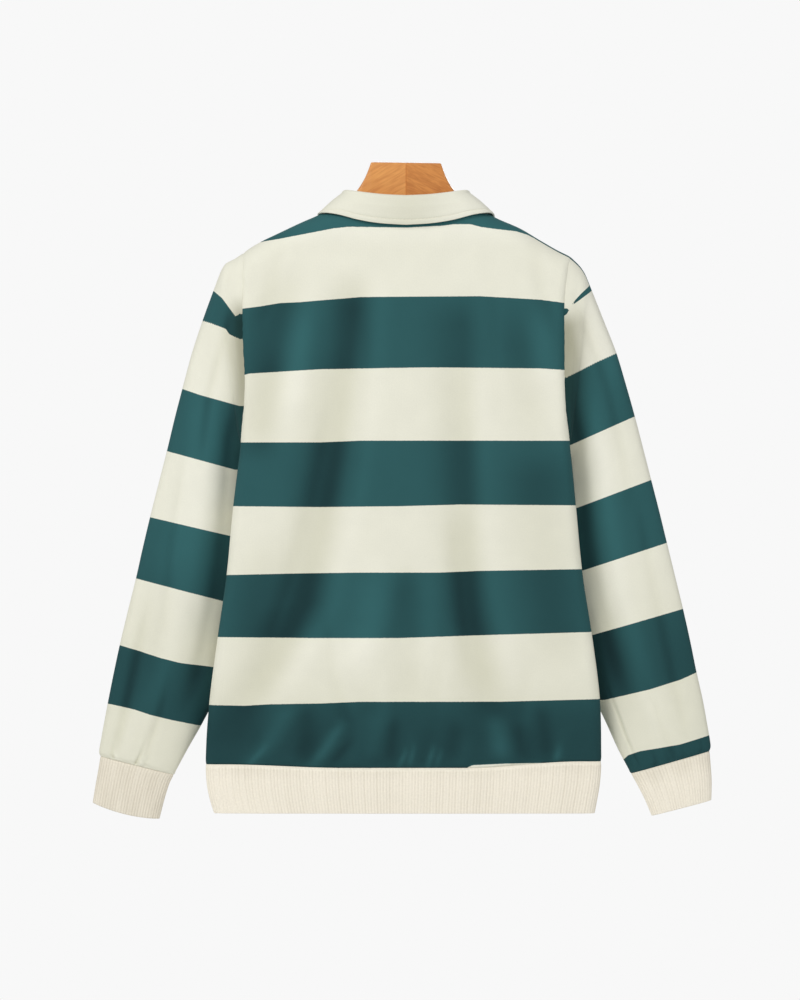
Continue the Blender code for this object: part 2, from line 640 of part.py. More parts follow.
def ribbed_band(name, outer, normals, step, collection, material):
    """A band with ribs raised on its outer points, over a plain inside with fewer points."""
    rows, columns = outer.shape[:2]
    raised = np.where(np.arange(columns) % 2 == 0, 0.0, -RIB_HIGH)[None, :, None]
    ribbed = outer + raised * normals
    plain = (outer - RIB_CLOTH * normals)[:, ::step]
    mesh = bmesh.new()
    out = [[mesh.verts.new(ribbed[i, j] * MM) for j in range(columns)] for i in range(rows)]
    count = plain.shape[1]
    into = [[mesh.verts.new(plain[i, j] * MM) for j in range(count)] for i in range(rows)]
    for i in range(rows - 1):
        for j in range(columns):
            k = (j + 1) % columns
            mesh.faces.new((out[i][j], out[i][k], out[i + 1][k], out[i + 1][j]))
        for j in range(count):
            k = (j + 1) % count
            mesh.faces.new((into[i + 1][j], into[i + 1][k], into[i][k], into[i][j]))
    for i in (0, rows - 1):
        for j in range(count):
            k = (j + 1) % count
            for n in range(step):
                a = out[i][(j * step + n) % columns]
                b = out[i][(j * step + n + 1) % columns]
                mesh.faces.new((b, a, into[i][j] if n < step // 2 else into[i][k]))
            mesh.faces.new((out[i][(j * step + step // 2) % columns], into[i][j], into[i][k]))
    return finished(name, mesh, collection, material)


def hem_rib(name, collection, material):
    half = RIBS_ROUND_HEM
    start = HEM_SEAM_DROP + SEAM_GAP * 1.5
    drops = np.array([start, start + HEM_MIDDLE_ROW, HEM_DROP])
    place = np.linspace(-1, 1, half + 1)[:-1]
    rows, normals = [], []
    for drop in drops:
        level = np.full(half, drop)
        back = body_point(-1, place, level, False)
        front = body_point(1, -place, level, False)
        rows.append(np.concatenate([back, front]))
        back = body_normal(-1, place, level)
        front = body_normal(1, -place, level)
        normals.append(np.concatenate([back, front]))
    return ribbed_band(name, np.array(rows), np.array(normals), RIB_INNER_EVERY, collection, material)


def cuff(name, side, collection, material):
    rings = CUFF_RING + np.array([CUFF_SEAM_RINGS, CUFF_MIDDLE_RINGS, CUFF_RINGS])
    turns = np.arange(RIBS_ROUND_CUFF * 2) * 2.0 / RIBS_ROUND_CUFF
    points, normals = sleeve_grid(side, rings, turns)
    return ribbed_band(name, points, normals, RIB_INNER_EVERY, collection, material)


def outside_body(points, clear):
    """Points moved straight out of the round shoulders and the panels until they are clear of them."""
    x, y, z = points[..., 0], points[..., 1], points[..., 2]
    across = np.clip(np.abs(x) / SECTION_WIDTH, 0, 1)
    deep = np.interp(across, BODY_OVAL[1], BODY_OVAL[2])
    half = through(BODY_DEPTH, -z, 1) * deep + clear
    middle = through(BODY_DEPTH, -z, 2)
    rise = np.maximum(SHOULDER_ROUND - (through(CREST, x, 1) - z), 0.0)
    tall = SHOULDER_ROUND + clear
    reach = np.sqrt(((y - middle) / half) ** 2 + (rise / tall) ** 2)
    push = np.where(reach < 1, 1 / np.maximum(reach, 0.2), 1.0)
    y = middle + (y - middle) * push
    z = z + rise * (push - 1)
    return np.stack([x, y, z], axis=-1)


def collar(name, collection, material):
    half = np.array(COLLAR_STATIONS)
    far = np.concatenate([half[:0:-1, 0], half[:, 0]])
    side = np.concatenate([-np.ones(len(half) - 1), np.ones(len(half))])
    face = np.where(far <= 0.5, -1, 1)
    value = [through(COLLAR, far, column) for column in range(1, 7)]
    place = place_of(side * np.concatenate([half[:0:-1, 1], half[:, 1]]))
    back = (face < 0)[:, None]
    panel_normal = np.where(back, body_normal(-1, place, 0.0), body_normal(1, place, 0.0))
    neck = np.where(back, body_point(-1, place, 0.0), body_point(1, place, 0.0)) - panel_normal * CLOTH / 2
    up_from_seam = np.cross(panel_normal, np.gradient(neck, axis=0))
    up_from_seam = up_from_seam / np.linalg.norm(up_from_seam, axis=-1, keepdims=True)
    neck = neck + up_from_seam * COLLAR_SEAM
    fold = np.stack([side * value[0], value[1], value[2]], axis=-1)
    edge = np.stack([side * value[3], value[4], value[5]], axis=-1)
    run = np.gradient(fold, axis=0)
    away = np.stack([-run[:, 1], run[:, 0], 0 * run[:, 0]], axis=-1)
    away = away / np.linalg.norm(away, axis=-1, keepdims=True)
    away = away * np.where(np.sum(away * (fold - np.array([0, 2, 0])), axis=-1) < 0, -1, 1)[:, None]
    up = np.array([0.0, 0.0, 1.0])
    centre = fold - FOLD_RADIUS * up
    stand_top = centre - FOLD_RADIUS * away
    fall_top = centre + FOLD_RADIUS * away
    rows = [neck, neck * 0.5 + stand_top * 0.5, stand_top]
    for angle in (45, 90, 135):
        turn = math.radians(angle)
        rows.append(centre + FOLD_RADIUS * (math.sin(turn) * up - math.cos(turn) * away))
    rows.append(fall_top)
    for share, bulge in COLLAR_FALL:
        fall = fall_top * (1 - share) + edge * share + bulge * away
        rows.append(outside_body(fall, COLLAR_CLEAR))
    rows = np.array(rows)
    run = np.gradient(rows, axis=1)
    down = np.gradient(rows, axis=0)
    normal = np.cross(run, down)
    normal = normal / np.linalg.norm(normal, axis=-1, keepdims=True)
    sewn = panel_normal * np.sign(np.sum(panel_normal * normal[0], axis=-1))[:, None]
    first = normal[0] + 1.5 * sewn
    normal[0] = first / np.linalg.norm(first, axis=-1, keepdims=True)
    outer = rows + normal * COLLAR_CLOTH / 2
    inner = rows - normal * COLLAR_CLOTH / 2
    return wall_object(name, outer, inner, False, None, collection, material)


def placket_strip(name, lift, collection, material):
    """A strip that follows the front panel's own points, moved out or in by lift."""
    columns = place_of(np.linspace(-PLACKET_HALF, PLACKET_HALF, 5))
    drops = np.array([PLACKET_START] + PANEL_ROWS[2: PLACKET_FOOT_ROW + 1], float)
    drops = np.append(drops, PANEL_ROWS[PLACKET_FOOT_ROW] + PLACKET_FOOT)
    drops = drops[:, None] + 0 * columns[None, :]
    places = columns[None, :] + 0 * drops
    normal = body_normal(1, places, drops)
    surface = body_point(1, places, drops)
    outer = surface + normal * (lift + PLACKET_CLOTH)
    inner = surface + normal * lift
    return wall_object(name, outer, inner, False, None, collection, material)


def front_at(x, z):
    """The front panel's surface straight behind a point given by x and z, and its direction out."""
    drops = np.linspace(0.0, 400.0, 4001)
    line = body_point(1, place_of(x) + 0 * drops, drops)
    nearest = drops[np.argmin(np.abs(line[:, 2] - z))]
    place = place_of(x)
    return body_point(1, place, nearest), body_normal(1, place, nearest)


def button(name, z, collection, material):
    """A turned button with a raised rim, lying on the upper placket."""
    point, normal = front_at(0.0, z)
    base = PLACKET_LIFT + PLACKET_CLOTH + SEAM_GAP
    mesh = bmesh.new()
    chain = [mesh.verts.new((r * MM, 0.0, h * MM)) for r, h in BUTTON_PROFILE]
    edges = [mesh.edges.new((a, b)) for a, b in zip(chain, chain[1:])]
    turned = chain + edges
    bmesh.ops.spin(mesh, geom=turned, cent=(0, 0, 0), axis=(0, 0, 1), angle=math.tau, steps=BUTTON_STEPS)
    bmesh.ops.remove_doubles(mesh, verts=mesh.verts, dist=0.00001)
    side = np.cross(normal, np.array([0.0, 0.0, 1.0]))
    side = side / np.linalg.norm(side)
    up = np.cross(side, normal)
    for vert in mesh.verts:
        local = np.array(vert.co)
        place = (point + normal * base) * MM + side * local[0] + up * local[1] + normal * local[2]
        vert.co = place
    return finished(name, mesh, collection, material)


def hanger(name, collection, material):
    """A board with a broad flat-topped neck, whose arms grow deeper and rounder to the tips."""
    stations = [(-x, *rest) for x, *rest in reversed(HANGER[1:])] + list(HANGER)
    mesh = bmesh.new()
    loops = []
    for x, top, bottom, half, corner in stations:
        points = []
        for y_sign, z_sign, start in ((1, 1, 0), (-1, 1, 90), (-1, -1, 180), (1, -1, 270)):
            cy = y_sign * (half - corner)
            cz = (top - corner) if z_sign > 0 else (bottom + corner)
            for step in range(3):
                turn = math.radians(start + step * 45)
                z = cz + corner * math.sin(turn) - HANGER_TILT * x
                points.append((x * MM, (cy + corner * math.cos(turn)) * MM, z * MM))
        loops.append([mesh.verts.new(p) for p in points])
    for one, two in zip(loops, loops[1:]):
        for j in range(len(one)):
            k = (j + 1) % len(one)
            mesh.faces.new((one[j], one[k], two[k], two[j]))
    mesh.faces.new(loops[0])
    mesh.faces.new(list(reversed(loops[-1])))
    return finished(name, mesh, collection, material)


for old in list(bpy.data.objects):
    bpy.data.objects.remove(old, do_unlink=True)

shirt = new_collection("rugby_shirt_on_hanger")
back_jersey = new_material("hooped_jersey_back", (0.78, 0.77, 0.66), 0.85)
front_jersey = new_material("hooped_jersey_front", (0.78, 0.77, 0.66), 0.85)
sleeve_jersey = new_material("hooped_jersey_sleeve", (0.76, 0.75, 0.64), 0.85)
collar_cloth = new_material("collar_cloth", (0.79, 0.77, 0.64), 0.85)
rib_knit = new_material("rib_knit", (0.84, 0.79, 0.66), 0.9)
placket_cloth = new_material("placket_cloth", (0.79, 0.77, 0.65), 0.85)
button_plastic = new_material("button_plastic", (0.85, 0.83, 0.74), 0.3)
wood = new_material("varnished_wood", (0.63, 0.28, 0.09), 0.4)

panel("back_panel", -1, shirt, back_jersey)
panel("front_panel", 1, shirt, front_jersey)
sleeve("sleeve_left", -1, shirt, sleeve_jersey)
sleeve("sleeve_right", 1, shirt, sleeve_jersey)
hem_rib("hem_rib", shirt, rib_knit)
cuff("cuff_left", -1, shirt, rib_knit)
cuff("cuff_right", 1, shirt, rib_knit)
collar("collar", shirt, collar_cloth)
placket_strip("placket_upper", PLACKET_LIFT, shirt, placket_cloth)
placket_strip("placket_under", -CLOTH - PLACKET_LIFT - PLACKET_CLOTH, shirt, placket_cloth)
for button_name, button_z in BUTTONS:
    button(button_name, button_z, shirt, button_plastic)
hanger("hanger", shirt, wood)
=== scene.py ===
import math

import bmesh
import bpy
import numpy as np
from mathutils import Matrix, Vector


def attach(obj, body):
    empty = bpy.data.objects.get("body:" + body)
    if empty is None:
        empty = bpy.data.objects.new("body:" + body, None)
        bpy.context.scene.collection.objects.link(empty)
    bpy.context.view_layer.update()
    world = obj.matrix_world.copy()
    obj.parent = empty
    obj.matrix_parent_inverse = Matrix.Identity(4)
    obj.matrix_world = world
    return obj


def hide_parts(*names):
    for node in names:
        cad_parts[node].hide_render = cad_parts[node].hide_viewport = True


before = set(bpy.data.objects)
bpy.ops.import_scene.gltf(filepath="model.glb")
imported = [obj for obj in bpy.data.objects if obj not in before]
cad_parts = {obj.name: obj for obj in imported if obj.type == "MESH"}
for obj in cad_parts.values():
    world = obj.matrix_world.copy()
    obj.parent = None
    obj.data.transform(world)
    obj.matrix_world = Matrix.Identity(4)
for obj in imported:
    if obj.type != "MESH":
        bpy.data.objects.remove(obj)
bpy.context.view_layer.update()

mm = 0.001
clothThick = 2.0


# Curves and steps
def column(table, k):
    return np.array([row[k] for row in table], float)


def between(table, at, k=1):
    # straight from row to row of a table, by its first column
    return np.interp(at, column(table, 0), column(table, k))


def through(table, at, k=1):
    # a smooth curve through the rows
    keys = column(table, 0)
    values = column(table, k)
    slopes = np.gradient(values, keys)
    i = np.clip(np.searchsorted(keys, at) - 1, 0, len(keys) - 2)
    step = keys[i + 1] - keys[i]
    t = np.clip((at - keys[i]) / step, 0.0, 1.0)
    start = values[i] * (2 * t**3 - 3 * t**2 + 1) + slopes[i] * step * (t**3 - 2 * t**2 + t)
    end = values[i + 1] * (3 * t**2 - 2 * t**3) + slopes[i + 1] * step * (t**3 - t**2)
    return start + end


def steps(*parts):
    # even steps in parts, each (first, last, how many), which share their ends
    return np.concatenate([np.linspace(*parts[0])] + [np.linspace(*part)[1:] for part in parts[1:]])


def numbered(rows):
    return [(k, *row) for k, row in enumerate(rows)]


def smoothStep(t):
    t = np.clip(t, 0.0, 1.0)
    return t * t * (3 - 2 * t)


def rise(at, start, over):
    # 0 up to start, then up to 1 over that length; with a negative over it comes down to 0 at start
    return smoothStep((at - start) / over)


def hump(u):
    return np.exp(-(u**2))


def unit(vectors):
    return vectors / np.maximum(np.linalg.norm(vectors, axis=-1, keepdims=True), 1e-9)


def foldDepth(folds, across, along, trough=hump, ends=30.0):
    # each fold is (along, across) points down its trough, half width and depth
    total = np.zeros_like(across)
    for points, halfWidth, depth in folds:
        centre = between(points, along)
        fade = smoothStep((along - points[0][0] + ends) / (2 * ends))
        fade = fade * smoothStep((points[-1][0] - along + ends) / (2 * ends))
        total += depth * fade * trough((across - centre) / halfWidth)
    return total


def pucker(along, away, size, shift):
    # small uneven puckers beside a seam
    pitch, reach, depth = size
    turns = along / pitch
    phase = turns + 0.45 * np.sin(turns * 0.9 + shift) + 0.3 * np.sin(turns * 2.3 + 2 * shift)
    strength = 0.6 + 0.4 * np.sin(turns * 0.37 + 3 * shift)
    return depth * strength * np.sin(2 * math.pi * phase) * np.exp(-np.abs(away) / reach)


def ringNormals(points, outward):
    # directions out of a grid whose last column repeats the first
    ring = points[:, :-1]
    along = np.roll(ring, -1, axis=1) - np.roll(ring, 1, axis=1)
    down = np.gradient(ring, axis=0)
    normal = unit(np.cross(along, down) * outward)
    return np.concatenate([normal, normal[:, :1]], axis=1)


hoopStep = 60.0  # past the first and last edge a hoop's value changes by 1 in this height


def hoopValue(edges, x, down):
    # whole numbers at the edges of the hoops, and even steps between them
    levels = np.array([between(edge, x) for edge in edges])
    value = np.clip((down - levels[0]) / hoopStep, -0.9, 0.0) + 1.0
    for k in range(len(edges) - 1):
        value = value + np.clip((down - levels[k]) / np.maximum(levels[k + 1] - levels[k], 1.0), 0.0, 1.0)
    return value + np.clip((down - levels[-1]) / hoopStep, 0.0, 0.9)


# Form of the body, as in the solids. A place runs across a face from side seam to side seam, -1 to 1,
# and a drop runs down from the shoulders' crest.
body = {
    # height down, x of the left and of the right edge from behind
    "edges": [
        (40, -196, 198.5), (110, -196, 198), (135, -195.8, 193), (170, -195.5, 189.3), (210, -194.7, 189),
        (251, -192.6, 189), (303, -193.4, 190.6), (335, -195, 193.2), (362, -198.2, 196), (405, -203.5, 200),
        (486, -211.3, 208), (559, -221.8, 219.3), (639, -232, 228.8), (690, -235.6, 230), (713, -236, 230),
        (735, -234.5, 228), (752, -231, 225), (768, -226, 222),
    ],
    # height down, half depth, and how far the middle lies from the hanger's plane
    "depths": [
        (40, 24, 0), (110, 26, -1), (170, 32, -2), (260, 38, -2), (360, 40, -1), (480, 38, 1), (600, 34, 2),
        (690, 29.5, 3), (713, 27.5, 3), (740, 28, 3), (768, 26, 3),
    ],
    # x and z along the crest of the shoulders
    "crest": [
        (-200, -113.5), (-196, -110), (-186, -102), (-175, -95.2), (-149, -82.4), (-125, -71), (-103, -61.4),
        (-80, -50), (-40, -29), (0, -22), (40, -29), (80, -50), (106, -65), (134, -77.6), (158, -92),
        (182, -105.2), (190, -108.8), (196, -112), (201, -116.4),
    ],
    "shoulders": (196, 198),      # x where the crest ends on the left and right
    "oval": (200, 36, 14, 0.18),  # half width, half depth, corner and doming of a section
    "neckHalf": 79,
    "neckBlend": 60,     # the rim's height goes from the left shoulder's to the right one's within this x
    "shoulderRound": 24,
    "levelBy": 230,      # the rows turn from the crest's slope to level by this drop
    "tip": -114,         # z from which the drop counts there
    "tilt": (4, 300),    # its fall to the right, and the drop by which that ends
    "slant": 44,         # the front's sides lie this much further in than the back's
    "formedBy": 110,     # drop by which the sides have their full slant
    "hemSeam": 599, "hem": 653,
    "hemLevel": 713,     # height down of the hem's seam in the middle
    "hemRises": (4, 7.5),
    "hemRun": (60, 115),    # x where the hem starts to rise, and over how much
    "riseRun": (430, 160),  # the same by drop, for the rows above it
}
faces = {
    -1: {
        "neckDrop": 16, "neckPower": 0.9,
        "folds": [
            ([(140, -146), (200, -155), (265, -168), (335, -183)], 24, 3.6),
            ([(145, -68), (215, -72), (285, -80), (350, -88), (400, -97), (450, -109), (520, -124),
             (560, -145), (600, -168), (640, -190), (690, -212)], 26, 6),
            ([(165, 58), (235, 60), (350, 65), (420, 68), (540, 76), (580, 84), (640, 99),
             (690, 108)], 24, 4.2), ([(190, 128), (250, 138), (320, 148)], 20, 2.2),
            ([(480, -4), (560, 0), (640, 2)], 20, 2.2), ([(180, -124), (240, -130), (300, -140)], 18, -2.2),
            ([(480, -30), (540, -40), (600, -62)], 20, -2.4), ([(180, 160), (260, 164)], 18, -2),
        ],
        "creases": [
            ([(300, -96), (400, -116), (470, -134), (560, -166)], 9, 0.9),
            ([(200, -58), (300, -62), (420, -80)], 10, -0.8), ([(430, 52), (520, 60), (600, 70)], 8, 0.8),
            ([(260, 84), (400, 88), (520, 96)], 12, -0.9), ([(540, -98), (600, -88), (660, -70)], 9, 0.9),
            ([(560, 40), (640, 30)], 9, 0.8), ([(150, 100), (220, 96), (280, 104)], 10, 0.7),
            ([(100, -150), (150, -160), (190, -176)], 9, 0.9),
            ([(100, 150), (150, 158), (200, 172)], 9, 0.9), ([(600, 140), (660, 128)], 10, 0.9),
            ([(600, -30), (670, -24)], 9, -0.7),
        ],  # finer, so the solids leave them out
    },
    1: {
        "neckDrop": 76, "neckPower": 1.1,
        "folds": [
            ([(170, 150), (240, 156), (330, 168)], 24, 3.4),
            ([(210, 84), (300, 92), (400, 104), (500, 122), (600, 150), (680, 176)], 26, 5.2),
            ([(190, -92), (300, -96), (420, -100), (540, -108), (690, -126)], 24, 4.4),
            ([(400, 6), (500, 2), (640, -8)], 24, 3), ([(170, -140), (250, -148), (320, -156)], 20, 2.6),
        ],
        "creases": [
            ([(240, 110), (340, 118), (460, 138)], 10, 0.9),
            ([(260, -70), (400, -78), (520, -84)], 10, -0.8), ([(110, 150), (170, 160), (220, 172)], 9, 0.9),
            ([(110, -150), (170, -160), (220, -170)], 9, 0.9), ([(250, 20), (330, 34), (420, 40)], 9, 0.8),
            ([(480, -40), (580, -56), (660, -70)], 10, 0.9), ([(500, 60), (600, 76), (670, 90)], 10, -0.8),
        ],
    },
}
# Gathers that fan up from the hem seam: x at the seam, x at the top, height, half width, depth
gathers = [
    (-176, -172, 44, 10, 1.8), (-136, -118, 60, 9, -1.6), (-112, -104, 50, 9, 2), (-62, -50, 60, 9, -1.6),
    (-34, -26, 40, 8, 1.6), (4, 8, 48, 9, -1.4), (22, 30, 52, 9, 1.6), (66, 76, 40, 9, -1.4),
    (118, 112, 40, 12, -2), (150, 146, 44, 9, 1.8), (182, 184, 38, 9, -1.6),
]
armhole = {"drop": 232, "reach": 0.115, "round": 80, "gap": -0.2}  # the sewn edges just meet


def alongQuarter(across, deep, halfWidth, halfDepth):
    parts = np.hypot(np.diff(across) * halfWidth, np.diff(deep) * halfDepth)
    length = np.concatenate([[0.0], np.cumsum(parts)])
    return length / length[-1], across, deep


def bodyQuarter(halfWidth, halfDepth, corner, dome):
    start = 1 - corner / halfWidth
    flat = np.linspace(0.0, start, 120)
    turn = np.linspace(0.0, math.pi / 2, 60)[1:]
    arcAcross = start + corner / halfWidth * np.sin(turn)
    arcDeep = 1 - dome - corner / halfDepth * (1 - np.cos(turn))
    side = np.linspace(arcDeep[-1], 0.0, 20)[1:]
    across = np.concatenate([flat, arcAcross, np.ones(len(side))])
    deep = np.concatenate([1 - dome * (flat / start) ** 2.4, arcDeep, side])
    return alongQuarter(across, deep, halfWidth, halfDepth)


def sleeveQuarter(halfWidth, halfDepth, power):
    angle = np.linspace(0.0, math.pi / 2, 400)
    return alongQuarter(np.sin(angle) ** (2 / power), np.cos(angle) ** (2 / power), halfWidth, halfDepth)


# Quarters of the sections: share of the way round, and how far across and deep that is
bodyOval = bodyQuarter(*body["oval"])
sleeveOval = sleeveQuarter(56.0, 19.0, 2.3)  # half width, half depth, and power: 2 is an ellipse


def placeOf(x):
    return np.sign(x) * np.interp(np.abs(x) / np.mean(body["shoulders"]), bodyOval[1], bodyOval[0])


def slant(faceDepth):
    return np.clip((faceDepth + 0.6) / 1.6, 0.0, 1.0) ** 1.1


# The slant draws the outline in, and this widens it again
sideGrow = 1.0 / np.max(
    bodyOval[1] - body["slant"] / body["shoulders"][0] * slant(-bodyOval[2]) * bodyOval[1] ** 3)


def gatherDepth(x, down, level):
    total = np.zeros_like(x)
    for foot, head, height, halfWidth, depth in gathers:
        up = np.clip((level - down) / height, -1.0, 1.5)
        centre = foot + (head - foot) * up
        fade = smoothStep((1.2 - up) / 0.7) * smoothStep(up * 7)
        total += depth * fade * hump((x - centre) / halfWidth)
    return total


def hemLift(x):
    return np.where(x < 0, *body["hemRises"]) * rise(np.abs(x), *body["hemRun"])


def bodyPoint(face, place, drop, detail=1):
    # detail 0 has no folds, 1 has the folds, and 2 has the creases too
    place = np.asarray(place, float)
    drop = np.asarray(drop, float) + 0 * place
    place = place + 0 * drop
    turn = np.abs(place)
    over = turn > 1  # round the side seam, on the other face
    turn = np.where(over, 2 - turn, turn)
    across = np.interp(turn, bodyOval[0], bodyOval[1])
    deep = np.interp(turn, bodyOval[0], bodyOval[2]) * np.where(over, -1, 1)
    side = np.where(place < 0, -1.0, 1.0)

    crestX = side * across * np.where(side < 0, *body["shoulders"])
    crestZ = through(body["crest"], crestX)
    neckHalf, blend = body["neckHalf"], body["neckBlend"]
    neck = np.clip(1 - (np.abs(crestX) / neckHalf) ** 2, 0, 1)
    middle = rise(crestX, -blend, 2 * blend)
    rimZ = through(body["crest"], -neckHalf) * (1 - middle) + through(body["crest"], neckHalf) * middle
    rimZ = np.minimum(crestZ, rimZ)
    startZ = np.where(neck > 0, rimZ - faces[face]["neckDrop"] * neck ** faces[face]["neckPower"], crestZ)
    tilt, tiltBy = body["tilt"]
    tipZ = body["tip"] - tilt * crestX / body["shoulders"][0] * (1 - rise(drop, 0, tiltBy))
    level = rise(drop, 0, body["levelBy"])
    z = startZ * (1 - level) + tipZ * level - drop
    ended = rise(drop, body["hemSeam"], body["hem"] - body["hemSeam"])
    z = z + hemLift(crestX) * rise(drop, *body["riseRun"]) * (1 - ended)

    edge = np.where(side < 0, -through(body["edges"], -z, 1), through(body["edges"], -z, 2))
    faceDepth = face * deep
    formed = rise(drop, 0, body["formedBy"])
    x = across * edge - formed * body["slant"] * slant(faceDepth) * across**3
    x = side * x * (1 + (sideGrow - 1) * formed)
    below = np.clip((crestZ - z) / body["shoulderRound"], 0, 1)
    halfDepth = through(body["depths"], -z, 1)
    y = through(body["depths"], -z, 2) + halfDepth * faceDepth * np.sqrt(1 - (1 - below) ** 2)
    if detail > 0:
        sunk = foldDepth(faces[face]["folds"], x, -z)
        if detail > 1:
            sunk = sunk + foldDepth(faces[face]["creases"], x, -z)
        sunk = sunk + gatherDepth(-face * x, -z, body["hemLevel"] - hemLift(crestX))
        y = y - face * sunk * np.clip(faceDepth * face, 0, 1) ** 1.5
    return np.stack([x, y, z], axis=-1)


def bodyNormal(face, place, drop):
    drop = np.asarray(drop, float)
    step = np.where(drop < 0.6, 0.0005, 0.6)
    aside = 0.004
    along = bodyPoint(face, place + aside, drop) - bodyPoint(face, place - aside, drop)
    down = bodyPoint(face, place, drop + step) - bodyPoint(face, place, np.maximum(drop - step, 0.0))
    return unit(np.cross(along, down) * face)


def onEither(back, place, drop):
    # points and normals of the back where back is true, otherwise of the front
    return [np.where(back[..., None], read(-1, place, drop), read(1, place, drop))
            for read in (bodyPoint, bodyNormal)]


def knitMap(places, drops):
    # map of the knit on the body: a unit is about 100 mm both ways
    return np.stack([places * 2.2, drops / 100.0], axis=-1)


def armholePlace(drop):
    turn = np.clip((drop - (armhole["drop"] - armhole["round"])) / armhole["round"], 0, 1)
    return np.where(drop < armhole["drop"], 1 - armhole["reach"] * np.sqrt(1 - turn**2), 1.0)


